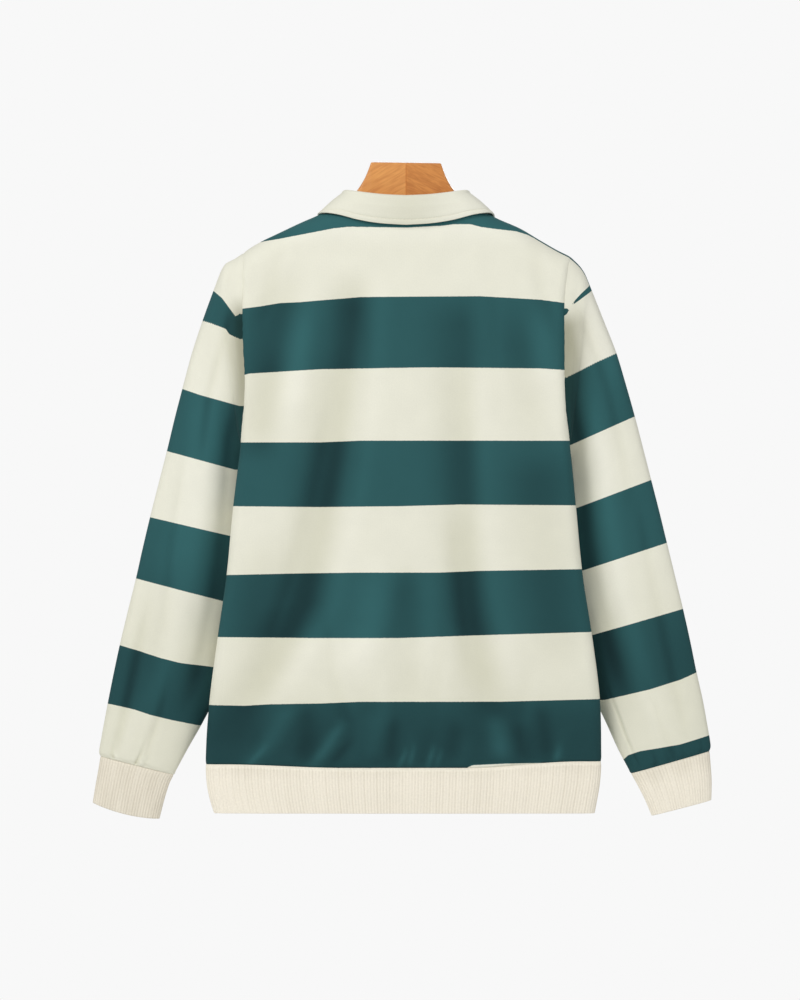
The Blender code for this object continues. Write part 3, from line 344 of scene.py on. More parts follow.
# Sleeves run by ring from the armhole to the cuff's edge, and by turn: 0 is outer, 1 back, 2 inner, 3 front
cuffRing = 20
sleeves = {
    -1: {
        # for each ring x and z of the outer edge, then of the inner one
        "outline": numbered([
            (196, -110, 184, -346), (209.5, -117, 185, -349), (217, -124.5, 184.5, -352),
            (223.5, -136.5, 184, -355), (230, -151, 183, -358), (241.5, -185.5, 182, -361.5),
            (253.5, -227, 181, -366), (264.3, -267.5, 180, -371), (273.5, -303, 179.5, -377),
            (282.3, -340, 179.5, -386), (292.3, -379, 181, -414), (302.2, -418, 184, -449),
            (311, -455, 189, -486), (318.8, -490, 194.5, -520), (328.7, -530, 204, -560),
            (338, -569, 214.5, -600), (345.5, -604, 226.5, -633), (352.2, -638, 240.5, -661),
            (358.5, -672, 257, -690), (362, -693, 270, -714), (361, -700, 274, -722),
            (362.8, -713, 279.5, -733), (366.5, -733, 285.5, -752), (370, -754, 291, -773),
        ]),
        # (ring, turn) points along each trough, half width in turns, depth
        "folds": [
            ([(14, 0.42), (17, 0.45), (19, 0.5)], 0.1, 2),
            ([(5, 1), (9, 1.02), (13, 0.98), (17, 0.94)], 0.2, -1.6),
            ([(4, 1.42), (8, 1.4), (12, 1.42), (16, 1.46)], 0.14, 2.2),
            ([(2, 0.62), (5, 0.8), (8, 0.86)], 0.09, 1.4), ([(9, 0.52), (12, 0.6), (14, 0.72)], 0.09, 1),
            ([(16, 1.05), (18, 1.12), (19.6, 1.2)], 0.08, 1.4), ([(18.9, 0.4), (20, 0.44)], 0.035, 2.2),
            ([(18.9, 0.5), (20, 0.55)], 0.05, -0.9), ([(18.6, 1.02), (20, 0.95)], 0.035, 2.6),
            ([(18.4, 1.16), (20, 1.08)], 0.06, -1), ([(6, 3), (11, 3.04), (16, 2.96)], 0.18, -1.4),
            ([(4, 2.6), (9, 2.58), (14, 2.52)], 0.14, 2), ([(9, 3.42), (13, 3.36), (18, 3.4)], 0.1, 1.4),
        ],
        # the same where only painted shade or painted light lies, darker or lighter
        "nap": [
            ([(6, 0.62), (10, 0.7), (13, 0.66)], 0.24, -0.48),
            ([(16, 0.72), (18, 0.66), (19.6, 0.62)], 0.16, -0.2), ([(2, 0.95), (3.2, 0.85)], 0.2, 0.9),
            ([(19.4, 0.4), (20, 0.44)], 0.04, 0.55), ([(19.3, 1), (20, 0.95)], 0.045, 0.65),
            ([(19.4, 0.5), (20, 0.54)], 0.04, -0.35), ([(19.4, 1.12), (20, 1.06)], 0.05, -0.35),
        ],
        # (x, down) points along the edges of the hoops
        "hoops": [
            [(-300, 90), (-100, 90)], [(-229, 150), (-217, 160), (-201, 182), (-196, 179)],
            [(-241, 185), (-229, 189), (-219, 193), (-212, 196), (-208, 202), (-202, 205), (-195, 208)],
            [(-263, 267), (-243, 274), (-196, 287)], [(-282, 340), (-202, 362)], [(-302, 418), (-208, 440)],
            [(-319, 490), (-217, 517)], [(-338, 569), (-314, 576), (-290, 584), (-267, 590), (-228, 595)],
            [(-352, 638), (-337, 641), (-320, 645), (-302, 651), (-278, 657), (-245, 664)],
        ],
        "swell": (5.0, 2.9, 0.65, 1.4),  # of the cap: height, ring, and reach in rings before and beyond it
        "shade": (0.68, 11, 150, 40),    # painted shadow from the body's edge: depth, width, and height down where it starts
        "shadeThins": (250, 0.62),       # the height down from which it thins, and by how much
        "besideThins": 0.4,              # the painted shade beside the body thins by this much, too
        "bodyEdge": 1,                   # column of the body's edges
    },
    1: {
        "outline": numbered([
            (198, -118, 182, -349), (205.5, -122.5, 183, -352), (212.5, -130.5, 182.5, -355),
            (217.5, -141.5, 182, -358), (222.6, -152.5, 181, -361), (238, -195, 180, -364.5),
            (249, -226, 179, -369), (260, -263, 178, -374), (270, -298.5, 177.5, -380),
            (280, -337, 177.5, -389), (289.5, -374, 179, -417), (299, -411, 182, -452),
            (308, -448, 187, -489), (317.5, -487, 191.5, -520), (327, -526, 201, -558),
            (335.5, -564, 211.5, -596), (343, -601, 222.5, -631), (350, -632, 236, -660),
            (355.5, -662, 250, -691), (359.5, -686, 261.5, -713), (358.5, -694, 265.5, -720.5),
            (359.5, -707, 271.5, -731), (361, -729, 281.5, -750), (360.5, -751, 290, -769.5),
        ]),
        "folds": [
            ([(3, 0.55), (6, 0.62), (10, 0.6)], 0.1, 1.2),
            ([(5, 1.05), (9, 1), (13, 1.02), (18, 1)], 0.18, -1.6),
            ([(4, 1.4), (8, 1.42), (12, 1.4), (16, 1.38)], 0.14, 2.2),
            ([(11, 0.48), (14, 0.52), (18, 0.56)], 0.09, 1.2),
            ([(16.2, 1.62), (17.5, 1.66), (18.6, 1.66)], 0.025, 1.8), ([(19, 0.3), (20, 0.32)], 0.04, 1),
            ([(19, 1.3), (20, 1.34)], 0.05, 1.6), ([(19, 1.05), (20, 1.02)], 0.04, 1),
            ([(19.1, 0.72), (20, 0.7)], 0.04, 0.8), ([(16, 1), (18, 0.96), (19.6, 0.9)], 0.08, 1.2),
            ([(6, 2.96), (11, 3), (16, 3.04)], 0.18, -1.4), ([(4, 2.62), (9, 2.56), (14, 2.54)], 0.14, 2),
            ([(9, 3.44), (13, 3.38), (18, 3.42)], 0.1, 1.4),
        ],
        "nap": [
            ([(4, 0.8), (8, 0.9), (12, 0.92), (16, 0.86)], 0.2, -0.15),
            ([(0.8, 0.85), (2.6, 0.95)], 0.1, 0.6), ([(0.8, 0.45), (2.4, 0.52)], 0.08, 0.35),
            ([(0.6, 0.65), (2.6, 0.72)], 0.07, -0.3), ([(3.4, 0.3), (6.5, 0.3)], 0.35, -0.45),
        ],
        "hoops": [
            [(100, 60), (300, 60)], [(189, 254), (229, 234), (249, 225)], [(194, 333), (270, 299)],
            [(202, 407), (289, 374)], [(209, 481), (308, 448)], [(221, 557), (327, 526)],
            [(234, 634), (288, 621), (323, 610), (343, 601)],
            [(257, 704), (262, 699), (276, 694), (300, 690), (323, 686), (359, 675)],
        ],
        "swell": (1.8, 3.0, 0.9, 0.9),
        "shade": (0.66, 20, 166, 30),
        "shadeThins": (270, 1.0),
        "besideThins": 0.0,
        "bodyEdge": 2,
    },
}
# The cap of the right sleeve shows the end of a front hoop as two wedges: x, top and foot of each,
# and x and foot of the hoop itself, which also shows along the top
capWedges = [
    (180, 172.5, 185), (189, 172.2, 179), (192.4, 173.6, 173.6), (193.4, 174, 168.5), (194.6, 168.2, 168.2),
    (198.5, 163, 166.6), (205.3, 155.6, 161.6), (214.8, 146.6, 154.4), (218.3, 141.4, 151.6),
    (222, 137, 147.4), (232, 126, 142),
]
capFront = [
    (184, 172), (196, 166), (208, 159), (218, 151.6), (222, 147.4), (232, 142),
]
# For each ring y of the outer and inner edge, half depth, how free it is of the armhole's form, fullness
sleeveDepths = numbered([
    (0, 0, 21, 0, 0), (0, 4, 23.5, 0.22, 20), (0, 7, 23.5, 0.42, 17), (0.5, 10, 22.5, 0.6, 14),
    (1, 13, 22, 0.74, 11), (1.5, 16, 21.5, 0.9, 9.5), (2, 18, 21, 1, 8), (2.5, 20, 20.5, 1, 6.5),
    (3, 22, 20, 1, 5), (3, 24, 19.5, 1, 3.5), (3.5, 25, 19, 1, 2), (4, 25.5, 18.5, 1, 1), (4, 26, 18, 1, 0),
    (4, 26, 17.5, 1, 0), (4, 25, 17, 1, 0), (4, 23, 17, 1, 0), (4, 20, 16.5, 1, 0), (4, 16, 16, 1, 0),
    (4, 11, 15.5, 1, 0), (4, 7, 14, 1, 0), (4, 6, 11.5, 1, 0), (4, 6, 12.5, 1, 0), (4, 6, 12.5, 1, 0),
    (4, 6, 11, 1, 0),
])


def ovalTurn(turn):
    turn = np.mod(turn, 4.0)
    quarter = np.floor(turn)
    part = turn - quarter
    near = np.where(quarter % 2 == 1, part, 1 - part)
    across = np.interp(near, sleeveOval[0], sleeveOval[1]) * np.where((quarter == 0) | (quarter == 3), 1, -1)
    deep = np.interp(near, sleeveOval[0], sleeveOval[2]) * np.where(quarter < 2, -1, 1)
    return across, deep


def armholePoint(side, turn):
    drop = armhole["drop"] * (1 - ovalTurn(turn)[0]) / 2
    return onEither(np.mod(turn, 4.0) < 2, side * armholePlace(drop), drop)


def pastArmhole(side, turn):
    point, normal = armholePoint(side, turn)
    run = armholePoint(side, turn + 0.02)[0] - armholePoint(side, turn - 0.02)[0]
    return point + armhole["gap"] * unit(side * np.cross(normal, run))


def sleevePoint(side, ring, turn):
    across, deep = ovalTurn(turn)
    share = (1 - across) / 2
    outerX, outerZ, innerX, innerZ = [through(sleeves[side]["outline"], ring, k) for k in range(1, 5)]
    outerY, innerY, halfDepth, free, full = [through(sleeveDepths, ring, k) for k in range(1, 6)]
    x = side * (outerX + (innerX - outerX) * share + full * (1 - (2 * share - 1) ** 4))
    z = outerZ + (innerZ - outerZ) * share
    y = outerY + (innerY - outerY) * share + halfDepth * deep
    free = np.clip(free, 0, 1)[..., None]
    return pastArmhole(side, turn) * (1 - free) + np.stack([x, y, z], axis=-1) * free


# Making meshes
def shown(name, data, material):
    piece = bpy.data.objects.new(name, data)
    bpy.context.scene.collection.objects.link(piece)
    data.materials.append(material)
    data.shade_smooth()
    return piece


def gridPiece(name, points, material, flip=False, tube=False, closed=False, weave=None, drop=None, **looks):
    # a sheet from a primitive grid, whose vertices are moved to the given points;
    # weave is its map of the knit, and each of looks a value at every point
    rows, columns = points.shape[:2]
    made = bmesh.new()
    bmesh.ops.create_grid(made, x_segments=columns - 1, y_segments=rows - 1, size=1.0)
    data = bpy.data.meshes.new(name)
    made.to_mesh(data)
    made.free()
    flat = np.empty(len(data.vertices) * 3)
    data.vertices.foreach_get("co", flat)
    flat = flat.reshape(-1, 3)
    j = np.rint((flat[:, 0] + 1) / 2 * (columns - 1)).astype(int)
    i = np.rint((flat[:, 1] + 1) / 2 * (rows - 1)).astype(int)
    data.vertices.foreach_set("co", (points[i, j] * mm).ravel())
    if weave is not None:
        corner = np.empty(len(data.loops), dtype=np.int32)
        data.loops.foreach_get("vertex_index", corner)
        layer = data.uv_layers.new(name="weave")
        layer.uv.foreach_set("vector", weave[i, j][corner].astype(np.float32).ravel())
    for label, values in looks.items():
        layer = data.attributes.new(label, "FLOAT", "POINT")
        layer.data.foreach_set("value", values[i, j].astype(np.float32))
    cut = data.attributes.new("cut", "INT", "POINT")
    cut.data.foreach_set("value", (i * columns + j).astype(np.int32))
    made = bmesh.new()
    made.from_mesh(data)
    if drop is not None:
        label = made.verts.layers.int["cut"]
        gone = [f for f in made.faces if drop[min(v[label] // columns for v in f.verts),
                                              min(v[label] % columns for v in f.verts)]]
        bmesh.ops.delete(made, geom=gone, context="FACES")
    if tube:
        bmesh.ops.remove_doubles(made, verts=made.verts, dist=0.00002)
    if closed:
        bmesh.ops.holes_fill(made, edges=[edge for edge in made.edges if edge.is_boundary], sides=0)
        bmesh.ops.recalc_face_normals(made, faces=made.faces)
    if flip:
        bmesh.ops.reverse_faces(made, faces=made.faces)
    made.to_mesh(data)
    made.free()
    data.attributes.remove(data.attributes["cut"])
    return shown(name, data, material)


def thicken(piece, thickness, offset=-1.0):
    wall = piece.modifiers.new("wall", "SOLIDIFY")
    wall.thickness = thickness * mm
    wall.offset = offset
    wall.use_quality_normals = True


def stitchTemplate():
    made = bmesh.new()
    bmesh.ops.create_uvsphere(made, u_segments=6, v_segments=5, radius=1.0)
    for vert in made.verts:  # the poles lie along the stitch
        vert.co = Vector((vert.co.z, vert.co.x, vert.co.y))
    bmesh.ops.recalc_face_normals(made, faces=made.faces)
    made.verts.index_update()
    return made


def copies(name, template, spots, material):
    # many small shapes in one mesh; each spot is (centre, along, out, length, wide)
    points = np.array([v.co[:] for v in template.verts])
    corners = [[v.index for v in f.verts] for f in template.faces]
    allPoints, allFaces = [], []
    for centre, along, out, length, wide in spots:
        side = np.cross(out, along)
        base = len(allPoints) * len(points)
        local = points * np.array([length / 2, wide / 2, wide / 2])
        allPoints.append(centre + local[:, :1] * along + local[:, 1:2] * side + local[:, 2:] * out)
        allFaces += [[base + k for k in face] for face in corners]
    data = bpy.data.meshes.new(name)
    data.from_pydata((np.concatenate(allPoints) * mm).tolist(), [], allFaces)
    data.update()
    return shown(name, data, material)


def stitchSpots(line, outs, size):
    # stitches one after another along a line of points
    length, gap, wide = size
    parts = np.linalg.norm(np.diff(line, axis=0), axis=1)
    reach = np.concatenate([[0.0], np.cumsum(parts)])
    spots = []
    for at in np.arange(length, reach[-1] - length / 2, length + gap):
        start, centre, end = [np.array([np.interp(at + shift, reach, line[:, k]) for k in range(3)])
                              for shift in (-1, 0, 1)]
        out = np.array([np.interp(at, reach, outs[:, k]) for k in range(3)])
        along = unit(end - start)
        out = unit(out - along * np.dot(out, along))
        spots.append((centre, along, out, length, wide))
    return spots


# Materials
def fromHex(code):
    parts = [int(code[k:k + 2], 16) / 255 for k in (0, 2, 4)]
    return tuple(p / 12.92 if p <= 0.04045 else ((p + 0.055) / 1.055) ** 2.4 for p in parts) + (1.0,)


def addNode(tree, kind, settings=None, values=None, links=None):
    node = tree.nodes.new("ShaderNode" + kind)
    for key, value in (settings or {}).items():
        setattr(node, key, value)
    for key, value in (values or {}).items():
        node.inputs[key].default_value = value
    for key, source in (links or {}).items():
        tree.links.new(source, node.inputs[key])
    return node


def newMaterial(name, constants):
    material = bpy.data.materials.new(name)
    material.use_nodes = True
    tree = material.node_tree
    shader = tree.nodes["Principled BSDF"]
    for key, value in constants.items():
        shader.inputs[key].default_value = value
    return material, tree, shader


def plainMaterial(name, code, roughness, specular):
    return newMaterial(name, {"Base Color": fromHex(code), "Roughness": roughness,
                              "Specular IOR Level": specular})[0]


jersey = {
    "creamPaintedShading": ("F4F2E2", "D6D4BD"),  # painted light on ridges and painted shade in troughs, where the cloth turns from the light
    # the same painted light and painted shade for the green
    "greenPaintedShading": ("346668", "0A2124"),
    "shaded": "929079",  # painted shadow: the cloth close behind the body's edge is multiplied by this
    "napRange": (-0.6, 1.6),
    "edge": 42.0,        # how sharp a hoop's edge is
    "waver": 0.010,      # the knit's small steps along it
    "uneven": 0.015,     # how much lighter or darker than the rest a patch or a stitch is
    "waleScale": 15.7,   # wales 2 mm apart: the real ones, 0.9 mm, would be lost
    "roughness": 0.82,
    "sheen": 0.03,
}


def jerseyMaterial(name, hooped):
    # brushed cotton jersey: smooth, nearly matt, with a faint sheen; painted shade and painted light come
    # from attributes
    material, tree, shader = newMaterial(name, {
        "Roughness": jersey["roughness"], "Sheen Weight": jersey["sheen"], "Sheen Roughness": 0.5,
        "Specular IOR Level": 0.15})
    weave = addNode(tree, "UVMap", {"uv_map": "weave"}).outputs[0]
    nap = addNode(tree, "Attribute", {"attribute_name": "nap"})
    fine = addNode(tree, "TexNoise", None, {"Scale": 60.0, "Detail": 3.0}, {"Vector": weave}).outputs["Fac"]
    broad = addNode(tree, "TexNoise", None, {"Scale": 3.0, "Detail": 2.0}, {"Vector": weave}).outputs["Fac"]
    low, high = jersey["napRange"]
    # painted shading: the attribute mixes each colour from its lit tone to its shaded tone
    depth = addNode(tree, "MapRange", None, {1: low, 2: high}, {0: nap.outputs["Fac"]})
    cream, green = [addNode(tree, "Mix", {"data_type": "RGBA"},
                            {6: fromHex(ends[0]), 7: fromHex(ends[1])}, {0: depth.outputs[0]}).outputs[2]
                    for ends in (jersey["creamPaintedShading"], jersey["greenPaintedShading"])]
    color = cream
    if hooped:
        hoop = addNode(tree, "Attribute", {"attribute_name": "hoop"})
        waver = addNode(tree, "Math", {"operation": "MULTIPLY_ADD"},
                        {1: jersey["waver"], 2: -jersey["waver"] / 2}, {0: fine})
        level = addNode(tree, "Math", {"operation": "ADD"}, None,
                        {0: hoop.outputs["Fac"], 1: waver.outputs[0]})
        turn = addNode(tree, "Math", {"operation": "MULTIPLY"}, {1: math.pi}, {0: level.outputs[0]})
        wave = addNode(tree, "Math", {"operation": "SINE"}, None, {0: turn.outputs[0]})
        isGreen = addNode(tree, "Math", {"operation": "MULTIPLY_ADD", "use_clamp": True},
                          {1: jersey["edge"], 2: 0.5}, {0: wave.outputs[0]})
        color = addNode(tree, "Mix", {"data_type": "RGBA"}, None,
                        {0: isGreen.outputs[0], 6: cream, 7: green}).outputs[2]
    patch, grain = [addNode(tree, "MapRange", None,
                            {1: 0.3, 2: 0.7, 3: 1 - jersey["uneven"], 4: 1 + jersey["uneven"]}, {0: noise})
                    for noise in (broad, fine)]
    both = addNode(tree, "Math", {"operation": "MULTIPLY"}, None, {0: patch.outputs[0], 1: grain.outputs[0]})
    mixed = addNode(tree, "Mix", {"data_type": "RGBA", "blend_type": "MULTIPLY"}, {0: 1.0},
                    {6: color, 7: both.outputs[0]})
    # painted shadow: this attribute multiplies the colour darker close behind the body's edge
    shaded = addNode(tree, "Attribute", {"attribute_name": "shade"})
    mixed = addNode(tree, "Mix", {"data_type": "RGBA", "blend_type": "MULTIPLY"},
                    {7: fromHex(jersey["shaded"])}, {0: shaded.outputs["Fac"], 6: mixed.outputs[2]})
    tree.links.new(mixed.outputs[2], shader.inputs["Base Color"])
    wales = addNode(tree, "TexWave", {"bands_direction": "X"},
                    {"Scale": jersey["waleScale"], "Distortion": 0.6, "Detail": 1.0}, {"Vector": weave})
    height = addNode(tree, "Math", {"operation": "MULTIPLY_ADD"}, {1: 0.35},
                     {0: wales.outputs["Fac"], 2: fine})
    bump = addNode(tree, "Bump", None, {"Strength": 0.12, "Distance": 0.0004}, {"Height": height.outputs[0]})
    tree.links.new(bump.outputs[0], shader.inputs["Normal"])
    return material


# light and dark: the rib's lit and shaded tones for its painted light and painted shade
ribKnit = {"light": "F8F0DE", "dark": "D6CDB9", "napRange": (-0.2, 1.0), "roughness": 0.9, "sheen": 0.05}


def ribMaterial():
    # cotton rib knit: matt, softer and a little warmer than the jersey, with painted shade and light from an
    # attribute
    material, tree, shader = newMaterial("rib_knit", {
        "Roughness": ribKnit["roughness"], "Sheen Weight": ribKnit["sheen"], "Specular IOR Level": 0.2})
    weave = addNode(tree, "UVMap", {"uv_map": "weave"})
    fine = addNode(tree, "TexNoise", None, {"Scale": 45.0, "Detail": 3.0}, {"Vector": weave.outputs[0]})
    grain = addNode(tree, "MapRange", None, {1: 0.3, 2: 0.7, 3: 0.96, 4: 1.03}, {0: fine.outputs["Fac"]})
    nap = addNode(tree, "Attribute", {"attribute_name": "nap"})
    low, high = ribKnit["napRange"]
    depth = addNode(tree, "MapRange", None, {1: low, 2: high}, {0: nap.outputs["Fac"]})
    color = addNode(tree, "Mix", {"data_type": "RGBA"},
                    {6: fromHex(ribKnit["light"]), 7: fromHex(ribKnit["dark"])}, {0: depth.outputs[0]})
    mixed = addNode(tree, "Mix", {"data_type": "RGBA", "blend_type": "MULTIPLY"},
                    {0: 1.0}, {6: color.outputs[2], 7: grain.outputs[0]})
    tree.links.new(mixed.outputs[2], shader.inputs["Base Color"])
    bump = addNode(tree, "Bump", None, {"Strength": 0.3, "Distance": 0.0005}, {"Height": fine.outputs["Fac"]})
    tree.links.new(bump.outputs[0], shader.inputs["Normal"])
    return material


# The hanger's two halves: the grain's turn in degrees, stretch and place in metres, pattern and tones
beech = [
    {"turn": -30, "stretch": (0.05, 0.02, 0.006), "shift": (0.0, 0.0, 0.0), "scale": 2.3, "waver": 0.5,
     "dark": "D88E48", "light": "EAA458"},
    {"turn": 24, "stretch": (0.04, 0.02, 0.007), "shift": (0.02, 0.0, 0.01), "scale": 1.7, "waver": 1.6,
     "dark": "C67B37", "light": "DE9449"},
]


def woodMaterial():
    # varnished beech: warm, satin, with a fine grain that meets at the joint in the middle
    material, tree, shader = newMaterial("varnished_beech", {
        "Roughness": 0.38, "Coat Weight": 0.35, "Coat Roughness": 0.2, "Specular IOR Level": 0.45})
    place = addNode(tree, "TexCoord").outputs["Object"]
    parts = addNode(tree, "SeparateXYZ", None, None, {0: place})
    isRight = addNode(tree, "Math", {"operation": "GREATER_THAN"}, {1: 0.0004},
                      {0: parts.outputs[0]}).outputs[0]
    grains = []
    for half in beech:
        turned = addNode(tree, "Mapping", {"vector_type": "TEXTURE"},
                         {"Rotation": (0.0, math.radians(half["turn"]), 0.0), "Scale": half["stretch"],
                          "Location": half["shift"]}, {"Vector": place})
        grains.append(addNode(tree, "TexNoise", None,
                              {"Scale": half["scale"], "Detail": 6.0, "Distortion": half["waver"]},
                              {"Vector": turned.outputs[0]}).outputs["Fac"])
    grain = addNode(tree, "Mix", None, None, {0: isRight, 2: grains[0], 3: grains[1]})
    dark, light = [addNode(tree, "Mix", {"data_type": "RGBA"},
                           {6: fromHex(beech[0][tone]), 7: fromHex(beech[1][tone])}, {0: isRight}).outputs[2]
                   for tone in ("dark", "light")]
    amount = addNode(tree, "MapRange", None, {1: 0.35, 2: 0.68}, {0: grain.outputs[0]})
    color = addNode(tree, "Mix", {"data_type": "RGBA"}, None, {0: amount.outputs[0], 6: dark, 7: light})
    tree.links.new(color.outputs[2], shader.inputs["Base Color"])
    return material


hoopedJersey = jerseyMaterial("hooped_jersey", True)
plainJersey = jerseyMaterial("cream_jersey", False)
ribCloth = ribMaterial()
thread = plainMaterial("sewing_thread", "EFEBD8", 0.6, 0.3)   # spun cotton: matt
plastic = plainMaterial("button_plastic", "EFEBDD", 0.3, 0.5)  # moulded plastic: satin, it catches the light
wood = woodMaterial()


# Panels
panel = {
    "rows": {-1: 158, 1: 120},  # of the grid, below the armhole
    # (x, down) points along the edges of the hoops, from the yoke's lower edge to the hem
    "hoops": [
        [(-175, 94), (-149, 90), (-117, 84), (-101, 81), (-86, 78), (-68, 76), (0, 77), (40, 75), (58, 73),
         (76, 73), (87, 76), (101, 78), (129, 81), (143, 85), (173, 100), (195, 112)],
        [(-196, 173), (-172, 170), (-149, 166), (-125, 165), (-78, 161), (-54, 159), (87, 158), (158, 162),
         (189, 166)],
        [(-192, 251), (-184, 249), (-149, 247), (-101, 244), (17, 242), (52, 242), (158, 243), (189, 245)],
        [(-195, 330), (-101, 330), (-54, 328), (194, 328)],
        [(-203, 405), (-101, 406), (-7, 405), (64, 403), (201, 404)],
        [(-211, 486), (-125, 484), (-54, 483), (40, 483), (87, 481), (208, 479)],
        [(-222, 559), (-113, 560), (-7, 560), (52, 558), (111, 556), (219, 553)],
        [(-232, 639), (-190, 640), (-160, 638), (-101, 637), (-54, 635), (111, 635), (229, 632)],
        [(0, 718), (70, 714), (78, 710), (119, 708), (184, 707), (228, 706)],
    ],
    # The front's yoke hoop runs lower along the right shoulder, so it just shows from behind
    "yoke": [
        (100, 78), (120, 82), (143, 94), (173, 113), (196, 130),
    ],
    # Broad parts with painted shade (or painted light, negative), without a fold
    "shades": [
        ([(240, -156), (285, -159), (335, -163)], 20, 0.46),
        ([(456, -168), (540, -182), (575, -188)], 30, 0.55),
        ([(350, 154), (420, 158), (560, 176), (590, 180)], 40, 0.62),
        ([(420, 62), (520, 70), (620, 88)], 20, 0.42), ([(150, -100), (260, -104)], 26, -0.15),
        ([(150, -72), (235, -78)], 16, -0.16), ([(150, -92), (235, -96)], 14, -0.22),
        ([(150, 56), (245, 59)], 24, -0.26),
    ],
    # Painted highlights and painted shade of short creases above the hem seam on the back, light where they
    # stand and dark between
    "paintedHemCreases": [
        ([(642, -137), (681, -160), (709, -184)], 13, -0.46), ([(688, -166), (712, -187)], 4.5, -0.52),
        ([(662, -77), (688, -93), (709, -109)], 8, -0.72), ([(695, -1), (711, -8)], 3.2, -0.7),
        ([(690, 9), (710, 4)], 3.2, -0.5), ([(690, 32), (710, 26)], 3.6, -0.7),
        ([(694, 41), (710, 36)], 3.2, -0.5), ([(655, 106), (699, 111)], 13, -0.62),
        ([(690, 180), (708, 176)], 4.5, -0.7), ([(650, -36), (700, -38)], 14, -0.3),
        ([(642, -116), (701, -125)], 13, 0.34), ([(681, -66), (709, -88)], 7, 0.32),
        ([(657, -16), (704, -19)], 9, 0.34), ([(660, 58), (700, 52)], 11, 0.22),
        ([(663, 132), (701, 136)], 9, 0.3), ([(642, 160), (699, 166)], 10, 0.3),
    ],
    "paintedHemCreaseEnds": 12,
    # Height down, run and amount of painted shading: darker to the hem, painted light on the yoke
    "napRuns": [(560, 120, 0.82), (104, -30, -0.50)],
    "foldPaintedShading": 5.2, "creasePaintedShading": 4.0,   # depth of a fold or crease whose painted shade is wholly dark
    "foldsPale": (590, 80, 0.8),        # near the hem the folds' painted shade shows less: height down, run and amount
    "gatherPaintedShading": 0.06,
    "sliverPaintedLight": -0.4,                  # painted light: the cream sliver over the hem's seam is bright
    "seam": (0.8, 2.2), "armSeam": (0.45, 2.2),  # depth and reach of the seams' furrows
    "hemPucker": (13, 9, 0.32), "armPucker": (17, 8, 0.22),  # pitch, reach and depth
    "faceHalf": 205,                    # from the middle of a face to its side, along the cloth
    "farAway": 60,                      # below the armhole its seam is at least this far off
    "parting": 0.15,                    # the faces part by this much along the side seams and the crest
    "slitHalf": 12, "slitFoot": 130,    # of the front opening
}


def napTrough(u):
    # painted shading of a trough lit from the left: it darkens slowly from there and ends at a painted light
    # edge on the right
    return hump((u - 0.2) / np.where(u < 0.2, 1.3, 0.78)) - 0.20 * hump((u - 1.5) / 0.5)


def panelColumns():
    inside = placeOf(np.linspace(0, panel["slitHalf"], 7))
    neck = placeOf(np.linspace(panel["slitHalf"], body["neckHalf"], 31))[1:]
    out = np.linspace(neck[-1], 1.0, 54)[1:]
    half = np.concatenate([inside, neck, out])
    return np.concatenate([-half[:0:-1], half])


def panelRows(lower):
    # close together on the shoulder's round and where the armhole turns in below
    scye = armhole["drop"] - armhole["round"]
    top = body["shoulderRound"] * (1 - np.cos(np.linspace(0, math.pi / 2, 16)))
    chest = np.linspace(body["shoulderRound"], panel["slitFoot"], 40)[1:]
    side = np.linspace(panel["slitFoot"], scye, 10)[1:]
    curve = scye + armhole["round"] * np.sin(np.linspace(0, math.pi / 2, 42))[1:]
    rest = np.linspace(armhole["drop"], body["hemSeam"], lower)[1:]
    return np.concatenate([top, chest, side, curve, rest])


def panelHoops(face, x, downward, drops):
    hoop = hoopValue(panel["hoops"], x, downward)
    if face > 0:
        yoke = 1 + (downward - between(panel["yoke"], x)) / hoopStep
        return np.where(x > 100, np.minimum(hoop, yoke), hoop)
    # the last row on the right shoulder's crest is green, as the front behind it
    return np.where((x > 150) & (drops < 1.5), np.minimum(hoop, 0.6), hoop)


def panelPaintedShading(face, x, downward, hoop):
    # painted shading: shade in the folds, creases and gathers, painted highlights on crease ridges, darker to
    # the hem
    paleFrom, paleRun, pale = panel["foldsPale"]
    nap = foldDepth(faces[face]["folds"], x, downward, napTrough) / panel["foldPaintedShading"]
    nap = nap * (1 - pale * rise(downward, paleFrom, paleRun))
    nap += foldDepth(faces[face]["creases"], x, downward, napTrough) / panel["creasePaintedShading"]
    nap += foldDepth(panel["shades"], x, downward)
    nap += panel["gatherPaintedShading"] * gatherDepth(-face * x, downward, body["hemLevel"] - hemLift(x))
    nap += foldDepth(panel["paintedHemCreases"], -face * x, downward, hump, panel["paintedHemCreaseEnds"])
    for start, over, amount in panel["napRuns"]:
        nap += amount * rise(downward, start, over)
    return np.where(hoop > len(panel["hoops"]), panel["sliverPaintedLight"], nap)


